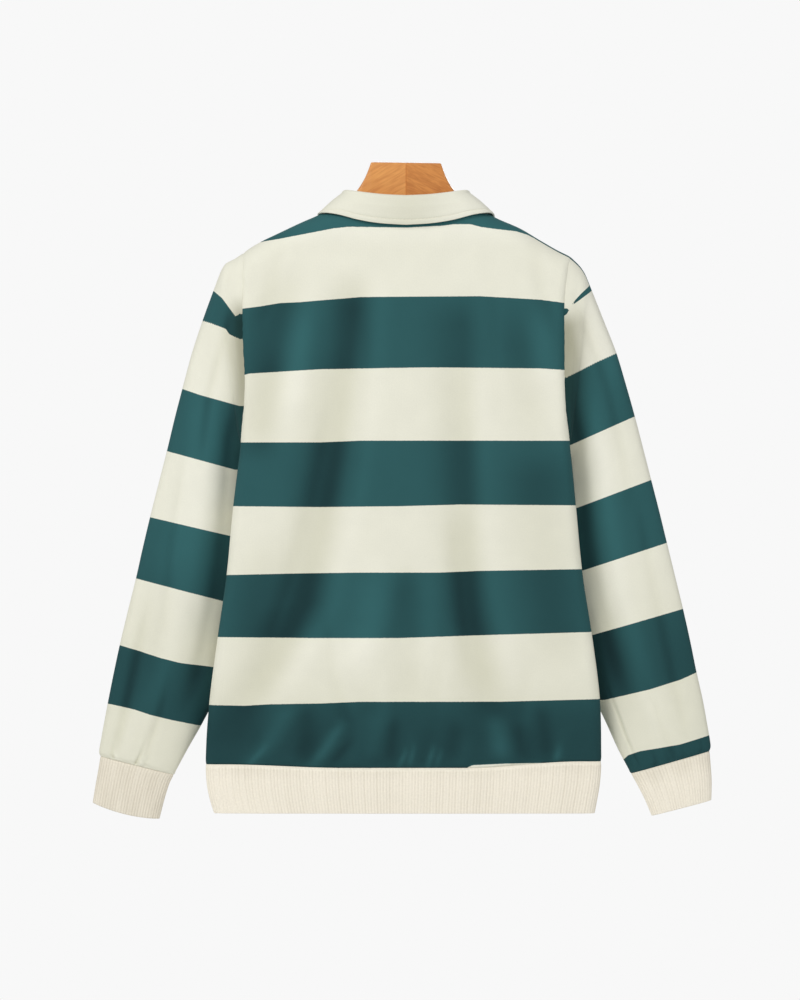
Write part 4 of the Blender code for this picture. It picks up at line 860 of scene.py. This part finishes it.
def panelPiece(name, face):
    columns = panelColumns()
    rows = panelRows(panel["rows"][face])
    across, drops = np.meshgrid(columns, rows)
    places = across * (1 - (1 - armholePlace(drops)) * across**8)
    points = bodyPoint(face, places, drops, 2)
    normals = bodyNormal(face, places, drops)
    fromHem = body["hemSeam"] - drops
    fromArm = np.abs(np.abs(places) - armholePlace(drops)) * panel["faceHalf"]
    fromArm += panel["farAway"] * (drops > armhole["drop"])
    sunk = panel["seam"][0] * hump(fromHem / panel["seam"][1])
    sunk += pucker(points[..., 0], fromHem, panel["hemPucker"], 0.7 * face)
    sunk += panel["armSeam"][0] * hump(fromArm / panel["armSeam"][1])
    sunk += pucker(drops, fromArm, panel["armPucker"], 1.3 + face)
    points = points - normals * sunk[..., None]
    atSide = np.clip((np.abs(places) - 0.9) * 20, 0, 1) * (drops >= armhole["drop"] - 40) * 1.4
    points[..., 1] += face * panel["parting"] * np.maximum(atSide, drops < 1.0)

    x, downward = points[..., 0], -points[..., 2]
    hoop = panelHoops(face, x, downward, drops)
    slit = None
    if face > 0:
        inside = np.abs(columns[:-1] + columns[1:]) / 2 < placeOf(panel["slitHalf"])
        slit = (rows[:-1, None] < panel["slitFoot"] - 0.5) & inside[None, :]
    piece = gridPiece(name, points, hoopedJersey, flip=face < 0, weave=knitMap(places, drops), drop=slit,
                      hoop=hoop, nap=panelPaintedShading(face, x, downward, hoop))
    thicken(piece, clothThick)
    return piece


backCloth = panelPiece("back_cloth", -1)
frontCloth = panelPiece("front_cloth", 1)
print("panels made")

# Sleeves
sleeveSeams = {
    "foldEnds": 1.2, "foldPaintedShading": 4.0,
    "cuff": (0.6, 2.4), "arm": (0.5, 0.18),  # depth and reach of the seams' furrows, in mm and in rings
    "cuffPucker": (15, 14, 0.9), "armPucker": (19, 9, 0.22),
    "round": 80, "ring": 24, "firstRing": 14,  # mm to a turn, and to a ring at the cuff and at the armhole
    "frontTurns": (2.5, 0.085),                # past the first or before the other it is the front
    "capRings": 7,                             # the first rings are the cap
    "shadeEnd": (640, -80),                    # the shade ends at this height down
    # The front has more light, so its painted shadow is this much thinner: amount, first turn and run
    "frontShade": (0.5, 1.8, 0.4),
    "beside": (0.5, 22),                       # painted shade beside the body: amount and width
    "napRun": (420, 180, 0.62),                # painted shade, darker to the cuff: height down, run and amount
}


def sleeveHoops(side, x, level, ring, turn):
    hoop = hoopValue(sleeves[side]["hoops"], x, level)
    if side < 0:
        return hoop
    top, foot = between(capWedges, x, 1), between(capWedges, x, 2)
    past, before = sleeveSeams["frontTurns"]
    front = (turn > past) | (turn < before)
    inside = np.where(front, between(capFront, x) - level, np.minimum(level - top, foot - level))
    wedges = np.minimum(hoop, 1 - np.clip(inside / hoopStep, -9.0, 0.4))
    return np.where(ring < sleeveSeams["capRings"], wedges, hoop)


def sleeveShade(side, fromBody, level, turn):
    # painted shadow where the body's edge would shade the sleeve
    depth, width, start, run = sleeves[side]["shade"]
    thinsFrom, thinsBy = sleeves[side]["shadeThins"]
    shade = depth * hump(fromBody / width) * rise(level, start, run)
    shade = shade * (1 - thinsBy * rise(level, thinsFrom, 150)) * rise(level, *sleeveSeams["shadeEnd"])
    thinner, first, over = sleeveSeams["frontShade"]
    return shade * (1 - thinner * rise(turn, first, over))


def sleevePiece(name, side):
    turns = steps((0, 1, 56), (1, 2, 42), (2, 4, 58))
    rings = steps((0, 4, 36), (4, 18, 124), (18, cuffRing, 24))
    turn, ring = np.meshgrid(turns, rings)
    points = sleevePoint(side, ring, turn)
    normals = ringNormals(points, side)
    folds = foldDepth(sleeves[side]["folds"], turn, ring, hump, sleeveSeams["foldEnds"])
    sunk = folds * (rise(ring, 1, 2) * rise(ring, cuffRing, -0.25))
    across = turn * sleeveSeams["round"]
    fromCuff = (cuffRing - ring) * sleeveSeams["ring"]
    sunk += pucker(across, fromCuff, sleeveSeams["cuffPucker"], 1.9 + side) * rise(fromCuff, 0, 4)
    sunk += sleeveSeams["cuff"][0] * hump(fromCuff / sleeveSeams["cuff"][1])
    sunk += sleeveSeams["arm"][0] * hump(ring / sleeveSeams["arm"][1])
    fromArm = ring * sleeveSeams["firstRing"]
    sunk += pucker(across, fromArm, sleeveSeams["armPucker"], 0.4 + side) * rise(ring, 0, 0.4)
    swell, widest, before, beyond = sleeves[side]["swell"]
    spread = np.where(ring < widest, before, beyond)
    sunk -= swell * hump((ring - widest) / spread) * hump(np.minimum(turn, 4 - turn) / 0.55)
    points = points - normals * sunk[..., None]
    points[:, -1] = points[:, 0]

    x, level = points[..., 0], -points[..., 2]
    hoop = sleeveHoops(side, x, level, ring, turn)
    fromBody = np.maximum(side * x - side * through(body["edges"], level, sleeves[side]["bodyEdge"]), 0)
    # painted shading: shade in the folds and beside the body's edge, painted light where a table is negative
    amount, width = sleeveSeams["beside"]
    beside = amount - sleeves[side]["besideThins"] * rise(level, 250, 120)
    nap = folds / sleeveSeams["foldPaintedShading"] + beside * hump(fromBody / width) * rise(level, 150, 40)
    nap += foldDepth(sleeves[side]["nap"], turn, ring, hump, sleeveSeams["foldEnds"])
    start, run, amount = sleeveSeams["napRun"]
    nap += amount * rise(level, start, run)
    weave = np.stack([turn * 0.8, ring * 0.32], axis=-1)
    piece = gridPiece(name, points, hoopedJersey, flip=side < 0, tube=True, weave=weave, hoop=hoop, nap=nap,
                      shade=sleeveShade(side, fromBody, level, turn))
    thicken(piece, clothThick)
    return piece


sleeveClothLeft = sleevePiece("sleeve_cloth_left", -1)
sleeveClothRight = sleevePiece("sleeve_cloth_right", 1)
print("sleeves made")

# Ribs
ribs = {
    "high": 0.48, "wall": 1.8, "round": 1.1,
    "perRib": 6, "hem": 280, "cuff": 56,  # grid columns to a rib, and how many ribs go round
    "cuffLong": 54,
    "pitch": 3.35,
    "paintedFurrowShade": {"hem": 0.72, "cuff": 0.66},  # painted shade: furrows are this much darker than ribs
    "seam": (0.5, 3.0),                       # depth and reach of the seam's furrow
    "pucker": (13, 8, 0.28),
    "weave": (0.0335, 0.54),
}


def ribRaise(phase, share):
    # a narrow furrow between round ribs, no two alike, which flattens out at the seam
    uneven = 0.75 + 0.25 * np.sin(np.floor(phase + 0.5) * 2.4) * np.cos(np.floor(phase + 0.5) * 0.83)
    furrow = (0.5 - 0.5 * np.cos(2 * math.pi * phase + math.pi)) ** 1.6
    return ribs["high"] * uneven * furrow * (0.55 + 0.45 * smoothStep(share * 6))


def edgeRoll(share, length):
    # the last rows turn in, as a folded edge does
    past = np.clip((share * length - (length - ribs["round"])) / ribs["round"], 0, 1)
    return ribs["round"] * (1 - np.sqrt(np.maximum(1 - past**2, 0)))


def bandShares(length, count):
    roll = np.array([1.5, 1.0, 0.7, 0.45, 0.25, 0.1, 0.03, 0.0])  # close rows on the rolled edge
    return np.concatenate([np.linspace(0, 1 - 2 * ribs["round"] / length, count),
                           1 - ribs["round"] / length * roll])


def bandPiece(name, points, normals, sunk, across, lean, nap, flip):
    points = points - normals * sunk[..., None]
    points[:, -1] = points[:, 0]
    weave = np.stack([across * ribs["weave"][0], lean * ribs["weave"][1]], axis=-1)
    piece = gridPiece(name, points, ribCloth, flip=flip, tube=True, weave=weave, nap=nap)
    thicken(piece, ribs["wall"])
    return piece


def hemPiece():
    count = ribs["hem"] * ribs["perRib"]
    length = body["hem"] - body["hemSeam"]
    share = bandShares(length, 11)
    place = np.linspace(-1, 1, count // 2 + 1)[:-1]
    points = np.array([np.concatenate([bodyPoint(-1, place, drop, 0), bodyPoint(1, -place, drop, 0)])
                       for drop in body["hemSeam"] + 0.05 + share * (length - 0.05)])
    points = np.concatenate([points, points[:, :1]], axis=1)
    across, lean = np.meshgrid(np.arange(count + 1) / ribs["perRib"], share)
    raised = ribRaise(across + 0.16 * np.sin(across * 0.11) * lean, lean)
    sunk = raised + edgeRoll(lean, length)
    sunk += ribs["seam"][0] * hump(lean * length / ribs["seam"][1])
    sunk += pucker(across * ribs["pitch"], lean * length, ribs["pucker"], 0.7)
    # the free edge waves a little
    sunk += 0.5 * (0.6 * np.sin(across * 0.19) + 0.4 * np.sin(across * 0.41 + 1.0)) * lean
    x = points[..., 0]
    # painted shading: an uneven tone round the band, painted shade just below its seam, and darker furrows
    nap = 0.10 * np.sin(across * 0.31 + 1.0) * np.sin(across * 0.113) + 0.24 * smoothStep(1 - lean * 3)
    nap = nap + ribs["paintedFurrowShade"]["hem"] * (raised / ribs["high"] - 0.4)
    # painted shade at the top of the left end, painted light at its foot and on the first row
    nap = nap + 0.14 * hump((x + 188) / 26) * (1 - lean) - 0.35 * rise(x, -130, -60) * lean
    nap = nap - 0.6 * hump(lean * length / 1.3)
    return bandPiece("hem_rib_cloth", points, ringNormals(points, -1), sunk, across, lean, nap, True)


def cuffPiece(name, side):
    count = ribs["cuff"] * ribs["perRib"]
    length = ribs["cuffLong"]
    share = bandShares(length, 13)
    turn, ring = np.meshgrid(np.arange(count + 1) * 4.0 / count, cuffRing + 0.005 + share * (3.0 - 0.005))
    points = sleevePoint(side, ring, turn)
    normals = ringNormals(points, side)
    across, lean = np.meshgrid(np.arange(count + 1) / ribs["perRib"], share)
    raised = ribRaise(across, lean)
    sunk = raised + edgeRoll(lean, length) + ribs["seam"][0] * hump(lean * length / ribs["seam"][1])
    inward = (1 - ovalTurn(turn)[0]) / 2
    sag = 16.0 if side < 0 else 0.0  # the left cuff's edge hangs lower in its middle
    points[..., 2] -= (1.2 + sag * inward * (1 - inward)) * lean**2
    # painted shading: the left cuff darker, the right one lighter towards its edge, with ripples and darker
    # furrows
    nap = 0.50 if side < 0 else 0.34 - 0.45 * smoothStep(lean * 2 - 0.3)
    nap = nap + 0.10 * np.sin(across * 0.7) * np.sin(lean * 5)
    nap = nap + ribs["paintedFurrowShade"]["cuff"] * (raised / ribs["high"] - 0.4)
    return bandPiece(name, points, normals, sunk, across, lean, nap, side < 0)


hemCloth = hemPiece()
cuffClothLeft = cuffPiece("cuff_cloth_left", -1)
cuffClothRight = cuffPiece("cuff_cloth_right", 1)
print("ribs made")

# Collar
collar = {
    "thick": 2.2,
    # share of the way from centre back to the front end, x, y, z of the fold, and x, y, z of the outer edge
    "leaf": [
        (0, 0, -30, -40.1, 0, -29.5, -74), (0.12, 26, -29.5, -38.9, 31, -29.5, -72),
        (0.24, 48, -26, -36.4, 58, -28.5, -67.5), (0.34, 62, -20.5, -34.4, 81, -25, -61.5),
        (0.42, 69.5, -12.5, -33.2, 97, -15, -59.4), (0.5, 72.5, 0, -34.2, 103.5, 0, -61.2),
        (0.55, 71.8, 9, -37.6, 104.4, 11, -65.4), (0.61, 67.7, 18, -45, 102.5, 23.5, -75.5),
        (0.686, 59, 24, -58.5, 96.5, 32.5, -96.5), (0.77, 46, 28, -76, 86, 38.5, -122),
        (0.88, 25, 32, -97, 70, 41.5, -154), (1, 5.5, 34.5, -112, 50, 43, -184),
    ],
    # the same share, and x of the neckline
    "neck": [
        (0, 0), (0.063, 12), (0.159, 30), (0.256, 48), (0.333, 62), (0.395, 72), (0.449, 77.5), (0.5, 79),
        (0.53, 78.1), (0.55, 77.5), (0.58, 75.3), (0.61, 72), (0.646, 67.5), (0.686, 62), (0.783, 48),
        (0.887, 30), (0.971, 12), (1, 5),
    ],
    "foldRadius": 2.7,
    "clear": 1.6,            # how far the leaf's middle stays off the body's form
    "tuck": (0, -2.4, -3.6),  # the front ends are tucked behind the neck's rim
    # How far the last rows, and the stitches, lie from the edge
    "edgeRows": [8.0, 7.2, 6.6, 6.0, 5.4, 4.8, 4.0, 3.0, 2.0, 1.0, 0.0],
    "stitched": 6.0,
    "puff": (0.30, 3.0, 2.2),  # of the leaf outside them: height, distance from the edge, reach
    "furrow": (0.45, 0.9),     # along them: depth, reach
    "neckShade": (0.75, 6.0, 40.0),  # painted shadow on the leaf below the hanger's neck: amount, x, width
    "stitch": (3.2, 1.2, 0.6),  # length, gap and width
}


def outsideBody(points, clear):
    x, y, z = points[..., 0], points[..., 1], points[..., 2]
    across = np.clip(np.abs(x) / body["oval"][0], 0, 1)
    deep = np.interp(across, bodyOval[1], bodyOval[2])
    half = through(body["depths"], -z, 1) * deep + clear
    middle = through(body["depths"], -z, 2)
    high = np.maximum(body["shoulderRound"] - (through(body["crest"], x) - z), 0.0)
    reach = np.sqrt(((y - middle) / half) ** 2 + (high / (body["shoulderRound"] + clear)) ** 2)
    push = np.where(reach < 1, 1 / np.maximum(reach, 0.2), 1.0)
    return np.stack([x, middle + (y - middle) * push, z + high * (push - 1)], axis=-1)


def collarRows():
    half = steps((0, 0.40, 26), (0.40, 0.64, 26), (0.64, 1, 36))
    far = np.concatenate([half[:0:-1], half])
    side = np.concatenate([-np.ones(len(half) - 1), np.ones(len(half))])
    neck, panelNormal = onEither(far <= 0.5, placeOf(side * between(collar["neck"], far)), 0.0)
    neck = neck - panelNormal * clothThick / 2
    neck = neck + unit(np.cross(panelNormal, np.gradient(neck, axis=0)))
    neck = neck + rise(far, 0.80, 0.18)[:, None] * np.array(collar["tuck"])
    value = [through(collar["leaf"], far, k) for k in range(1, 7)]
    fold = np.stack([side * value[0], value[1], value[2]], axis=-1)
    edge = np.stack([side * value[3], value[4], value[5]], axis=-1)
    run = np.gradient(fold, axis=0)
    away = unit(np.stack([-run[:, 1], run[:, 0], 0 * run[:, 0]], axis=-1))
    away = away * np.where(np.sum(away * (fold - np.array([0, 2, 0])), axis=-1) < 0, -1, 1)[:, None]
    up = np.array([0.0, 0.0, 1.0])
    radius = collar["foldRadius"]
    centre = fold - radius * up
    rows = [neck * (1 - t) + (centre - radius * away) * t for t in np.linspace(0, 1, 8)]
    rows += [centre + radius * (math.sin(turn) * up - math.cos(turn) * away)
             for turn in np.radians(np.arange(20, 180, 20))]
    fallTop = centre + radius * away
    rows.append(fallTop)
    long = np.linalg.norm(edge - fallTop, axis=-1)
    inner = np.linspace(0, 1, 18)[1:, None] * (1 - 9.0 / long)[None, :]
    outer = 1 - np.array(collar["edgeRows"])[:, None] / long[None, :]
    for share in np.concatenate([inner, outer]):
        bulge = np.interp(share, [0, 0.35, 0.7, 1.0], [0.0, 1.5, 1.2, 0.0])
        fall = fallTop * (1 - share)[:, None] + edge * share[:, None] + bulge[:, None] * away
        rows.append(outsideBody(fall, collar["clear"]))
    return np.array(rows)


def collarPiece():
    rows = collarRows()
    count, width = rows.shape[:2]
    normal = unit(np.cross(np.gradient(rows, axis=1), np.gradient(rows, axis=0)))
    near, middle = count - 6, width // 2
    fromEdge = np.full(count, 99.0)
    fromEdge[-len(collar["edgeRows"]):] = collar["edgeRows"]
    amount, at, reach = collar["puff"]
    depth, wide = collar["furrow"]
    puff = amount * hump((fromEdge - at) / reach) - depth * hump((fromEdge - collar["stitched"]) / wide)
    outward = np.sign(np.sum(normal[near] * (rows[near] - np.array([0, 2, -60])), axis=-1))
    out = normal * outward[None, :, None]
    rows = rows + out * puff[:, None, None]
    facing = np.cross(rows[near, middle + 1] - rows[near, middle - 1],
                      rows[near + 1, middle] - rows[near - 1, middle])
    weave = np.stack(np.meshgrid(np.linspace(0, 4.6, width), np.linspace(0, 0.8, count)), axis=-1)
    x = rows[..., 0]
    amount, middleX, spread = collar["neckShade"]
    nap = amount * hump((x - middleX) / spread) * (rows[..., 1] < 0)
    nap = nap + 0.10 * smoothStep(-x / 60.0) - 0.3 * smoothStep(x / 60.0)  # painted light: lighter to the right, a little darker to the left
    piece = gridPiece("collar_cloth_piece", rows, plainJersey, flip=facing[1] > 0, weave=weave, nap=nap)
    thicken(piece, collar["thick"], 0.0)
    smooth = piece.modifiers.new("smooth", "SUBSURF")
    smooth.levels = 1
    smooth.render_levels = 1
    groove = count - len(collar["edgeRows"]) + collar["edgeRows"].index(collar["stitched"])
    line = rows[groove] + out[groove] * (collar["thick"] / 2 + 0.1)
    return piece, stitchSpots(line[3:-3], out[groove][3:-3], collar["stitch"])


collarCloth, collarStitches = collarPiece()
template = stitchTemplate()
collarThread = copies("collar_topstitch", template, collarStitches, thread)
print("collar made", len(collarStitches), "stitches")

# Placket
placket = {
    "half": 17.0, "thick": 1.4,
    "start": 4.0, "foot": 6.0,  # the first drop, and how far it goes past the slit's foot
    "lift": 0.45,               # off the panel
    "stitch": (2.8, 1.1, 0.6),
    "inset": 2.4,               # of the stitches from the edge
    "box": (3.0, -6.0),         # rows of stitches across, below and above the slit's foot
}


def placketPiece(name, lift):
    columns = placeOf(np.linspace(-placket["half"], placket["half"], 29))
    rows = np.linspace(placket["start"], panel["slitFoot"] + placket["foot"], 100)
    places, drops = np.meshgrid(columns, rows)
    points = bodyPoint(1, places, drops) + bodyNormal(1, places, drops) * (lift + placket["thick"])
    piece = gridPiece(name, points, plainJersey, weave=knitMap(places, drops))
    thicken(piece, placket["thick"])
    return piece


def placketStitches():
    inset = placket["half"] - placket["inset"]
    low = panel["slitFoot"] + placket["box"][0]
    down = np.linspace(placket["start"] + 2, low, 60)
    over = np.linspace(-inset, inset, 30)
    spots = []
    for xs, drops in ((0 * down - inset, down), (0 * down + inset, down), (over, 0 * over + low),
                      (over, 0 * over + panel["slitFoot"] + placket["box"][1])):
        places = placeOf(xs)
        normals = bodyNormal(1, places, drops)
        line = bodyPoint(1, places, drops) + normals * (placket["lift"] + placket["thick"] + 0.1)
        spots += stitchSpots(line, normals, placket["stitch"])
    return spots


placketUpper = placketPiece("placket_upper_cloth", placket["lift"])
placketUnder = placketPiece("placket_under_cloth", -clothThick - placket["lift"] - placket["thick"])
placketThread = copies("placket_topstitch", template, placketStitches(), thread)

# Buttons
button = {
    "levels": {"top": -148.0, "middle": -196.0, "low": -244.0},
    "radius": 8.5, "thick": 3.2, "dish": 1.0, "steps": 64,
    "lift": 0.3,                       # off the placket
    "holeOut": 2.1, "hole": 0.95, "holeDeep": 1.5,
    "strand": (0.62, 0.28),            # width of a strand of thread, and how far it lies from the middle
}


def frontAt(z):
    drops = np.linspace(0.0, 400.0, 4001)
    line = bodyPoint(1, 0 * drops, drops)
    nearest = drops[np.argmin(np.abs(line[:, 2] - z))]
    return bodyPoint(1, 0.0, nearest), bodyNormal(1, 0.0, nearest)


def buttonPiece(name, z):
    point, normal = frontAt(z)
    base = placket["lift"] + placket["thick"] + button["lift"]
    rim, high = button["radius"], button["thick"]
    floor = high - button["dish"]
    profile = [(0.0, 0.0), (rim - 1.4, 0.0), (rim - 0.5, 0.35), (rim, 1.2), (rim, high - 1.0),
               (rim - 0.25, high - 0.4), (rim - 0.8, high), (rim - 1.9, high), (rim - 2.5, high - 0.25),
               (rim - 3.2, floor + 0.1)]
    profile += [(r, floor) for r in np.arange(rim - 3.6, 0.2, -0.28)] + [(0.0, floor)]
    made = bmesh.new()
    chain = [made.verts.new((r, 0.0, h)) for r, h in profile]
    edges = [made.edges.new(pair) for pair in zip(chain, chain[1:])]
    bmesh.ops.spin(made, geom=chain + edges, cent=(0, 0, 0), axis=(0, 0, 1), angle=math.tau,
                   steps=button["steps"], use_merge=True)
    bmesh.ops.remove_doubles(made, verts=made.verts, dist=0.001)
    bmesh.ops.recalc_face_normals(made, faces=made.faces)
    side = unit(np.cross(normal, np.array([0.0, 0.0, 1.0])))
    up = np.cross(side, normal)
    holes = [(button["holeOut"] * math.cos(turn), button["holeOut"] * math.sin(turn))
             for turn in np.radians([45, 135, 225, 315])]
    for vert in made.verts:
        x, y, h = vert.co
        if h > 1.5:  # the upper face, in which the holes are sunk
            near = min(math.hypot(x - hx, y - hy) for hx, hy in holes)
            h -= button["holeDeep"] * min(1.0, max(0.0, (button["hole"] - near) / 0.3))
        vert.co = Vector(((point + normal * (base + h) + side * x + up * y) * mm).tolist())
    data = bpy.data.meshes.new(name)
    made.to_mesh(data)
    made.free()
    strands = []
    wide, apart = button["strand"]
    for k, sign in ((0, 1), (1, -1)):  # two strands each way, crossed, the second pair on top
        middle = point + normal * (base + high - 0.85 + 0.25 * k)
        along = unit(side + sign * up)
        aside = np.cross(normal, along)
        strands += [(middle + shift * aside, along, normal, 2 * button["holeOut"] + 1.0, wide)
                    for shift in (-apart, apart)]
    return shown(name, data, plastic), strands


buttons = []
strands = []
for label, z in button["levels"].items():
    turned, threads = buttonPiece("button_" + label + "_turned", z)
    buttons.append(turned)
    strands += threads
buttonThread = copies("button_thread", template, strands, thread)
print("placket and buttons made")

# Hanger
hanger = {
    # x out from the middle, top z, bottom z, half depth, corner
    "arm": [
        (0, 0, -66, 12, 3), (40.6, 0, -64, 12, 3), (41.6, -1.2, -64, 12, 3), (44, -8, -64, 12, 3.2),
        (48, -17.5, -64.5, 12, 4), (53, -26.5, -65.5, 12, 5), (59, -35.5, -67, 11.5, 5.5),
        (67, -51, -73, 11, 6.5), (80, -57.5, -80, 12, 9.5), (106, -69, -93.5, 13.5, 10.5),
        (134, -81.6, -108, 14.5, 11.5), (160, -94.3, -122.5, 14.5, 12), (178, -106.2, -134, 12.5, 11),
        (188, -114.9, -139, 10.5, 9.5), (194, -123.5, -139.5, 6.5, 5.5),
    ],
    "neck": 44,       # up to here the outline is straight from row to row
    "tilt": 0.0145,   # fall to the right
    "joint": 0.7,     # a fine groove all round in the middle, where the halves meet
    # the grid's steps out from the middle: first, last and how many
    "steps": [(0.35, 40, 14), (40.2, 44, 12), (44.6, 70, 32), (72, 186, 58), (187, 194, 14)],
}


def hangerPiece():
    xs = np.concatenate([np.linspace(*part) for part in hanger["steps"]])
    xs = np.concatenate([-xs[::-1], [0.0], xs])[:, None]
    far = np.abs(xs)
    top, bottom, half, corner = [
        np.where(far > hanger["neck"], through(hanger["arm"], far, k), between(hanger["arm"], far, k))
        for k in (1, 2, 3, 4)]
    turn = np.radians(np.tile(np.linspace(0, 90, 9), 4) + np.repeat([0, 90, 180, 270], 9))
    right = np.repeat([1, -1, -1, 1], 9)
    upper = np.repeat([1, 1, -1, -1], 9)
    reach = corner - np.where(far < 0.2, hanger["joint"], 0.0)
    y = right * (half - corner) + reach * np.cos(turn)
    z = np.where(upper > 0, top - corner, bottom + corner) + reach * np.sin(turn) - hanger["tilt"] * xs
    points = np.stack([xs + 0 * y, y, z], axis=-1)
    points = np.concatenate([points, points[:, :1]], axis=1)
    piece = gridPiece("hanger_wood", points, wood, tube=True, closed=True)
    piece.data.set_sharp_from_angle(angle=math.radians(40))
    return piece


hangerWood = hangerPiece()
print("hanger made")

# What each piece replaces
for piece, node, slot in (
        (backCloth, "back_panel", "hooped_jersey_back"), (frontCloth, "front_panel", "hooped_jersey_front"),
        (sleeveClothLeft, "sleeve_left", "hooped_jersey_sleeve"),
        (sleeveClothRight, "sleeve_right", "hooped_jersey_sleeve"),
        (hemCloth, "hem_rib", "rib_knit"), (cuffClothLeft, "cuff_left", "rib_knit"),
        (cuffClothRight, "cuff_right", "rib_knit"), (collarCloth, "collar", "collar_cloth"),
        (placketUpper, "placket_upper", "placket_cloth"), (placketUnder, "placket_under", "placket_cloth"),
        (buttons[0], "button_top", "button_plastic"), (buttons[1], "button_middle", "button_plastic"),
        (buttons[2], "button_low", "button_plastic"), (hangerWood, "hanger", "varnished_wood")):
    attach(piece, "root")
    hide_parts(node)
for piece in (collarThread, placketThread, buttonThread):
    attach(piece, "root")

# Stage, light and camera, in metres
stage = {
    "backdrop": "F8F8F8", "floor": "F4F4F4", "floorLevel": -1.25, "floorRadius": 2.2,
    "fill": 0.44,
    "key": 112.5,
    "aim": (0, 0, -0.4),
    # name, place, width, and power as a share of the key light's
    "lights": [("key", (-2.2, -3.4, 2.2), 2.6, 1.0), ("side_fill", (3.0, -2.8, 0.8), 2.6, 0.25),
               ("front_side", (0.5, 4.2, 0.8), 2.0, 0.62)],
    "camera": (-0.0071, -9.0, -0.3977),
    "high": 1.18,    # from the picture's top to its foot, at the shirt
    "sensor": 36.0,
}
made = bmesh.new()
bmesh.ops.create_circle(made, cap_ends=True, segments=96, radius=stage["floorRadius"])
bmesh.ops.translate(made, verts=made.verts, vec=(0, 0, stage["floorLevel"]))
data = bpy.data.meshes.new("floor")
made.to_mesh(data)
made.free()
shown("floor", data, plainMaterial("pale_floor", stage["floor"], 0.9, 0.1))  # matt paper

world = bpy.data.worlds.new("studio")
world.use_nodes = True
bpy.context.scene.world = world
tree = world.node_tree
paper = tree.nodes["Background"]
paper.inputs[0].default_value = fromHex(stage["backdrop"])
soft = addNode(tree, "Background", None, {0: fromHex("FAFCFF"), 1: stage["fill"]})
path = addNode(tree, "LightPath")
both = addNode(tree, "MixShader", None, None,
               {0: path.outputs["Is Camera Ray"], 1: soft.outputs[0], 2: paper.outputs[0]})
tree.links.new(both.outputs[0], tree.nodes["World Output"].inputs[0])

for name, place, width, share in stage["lights"]:
    light = bpy.data.lights.new(name, "AREA")
    light.shape = "DISK"
    light.size = width
    light.energy = stage["key"] * share
    lamp = bpy.data.objects.new(name, light)
    lamp.location = place
    lamp.rotation_euler = (Vector(stage["aim"]) - Vector(place)).to_track_quat("-Z", "Y").to_euler()
    bpy.context.scene.collection.objects.link(lamp)

camera = bpy.data.cameras.new("photo_camera")
camera.sensor_width = stage["sensor"]
camera.lens = stage["sensor"] * -stage["camera"][1] / stage["high"]
camera.clip_end = 50.0
viewer = bpy.data.objects.new("photo_camera", camera)
viewer.location = stage["camera"]
viewer.rotation_euler = (math.pi / 2, 0, 0)
bpy.context.scene.collection.objects.link(viewer)
bpy.context.scene.camera = viewer
bpy.context.scene.view_settings.view_transform = "Standard"
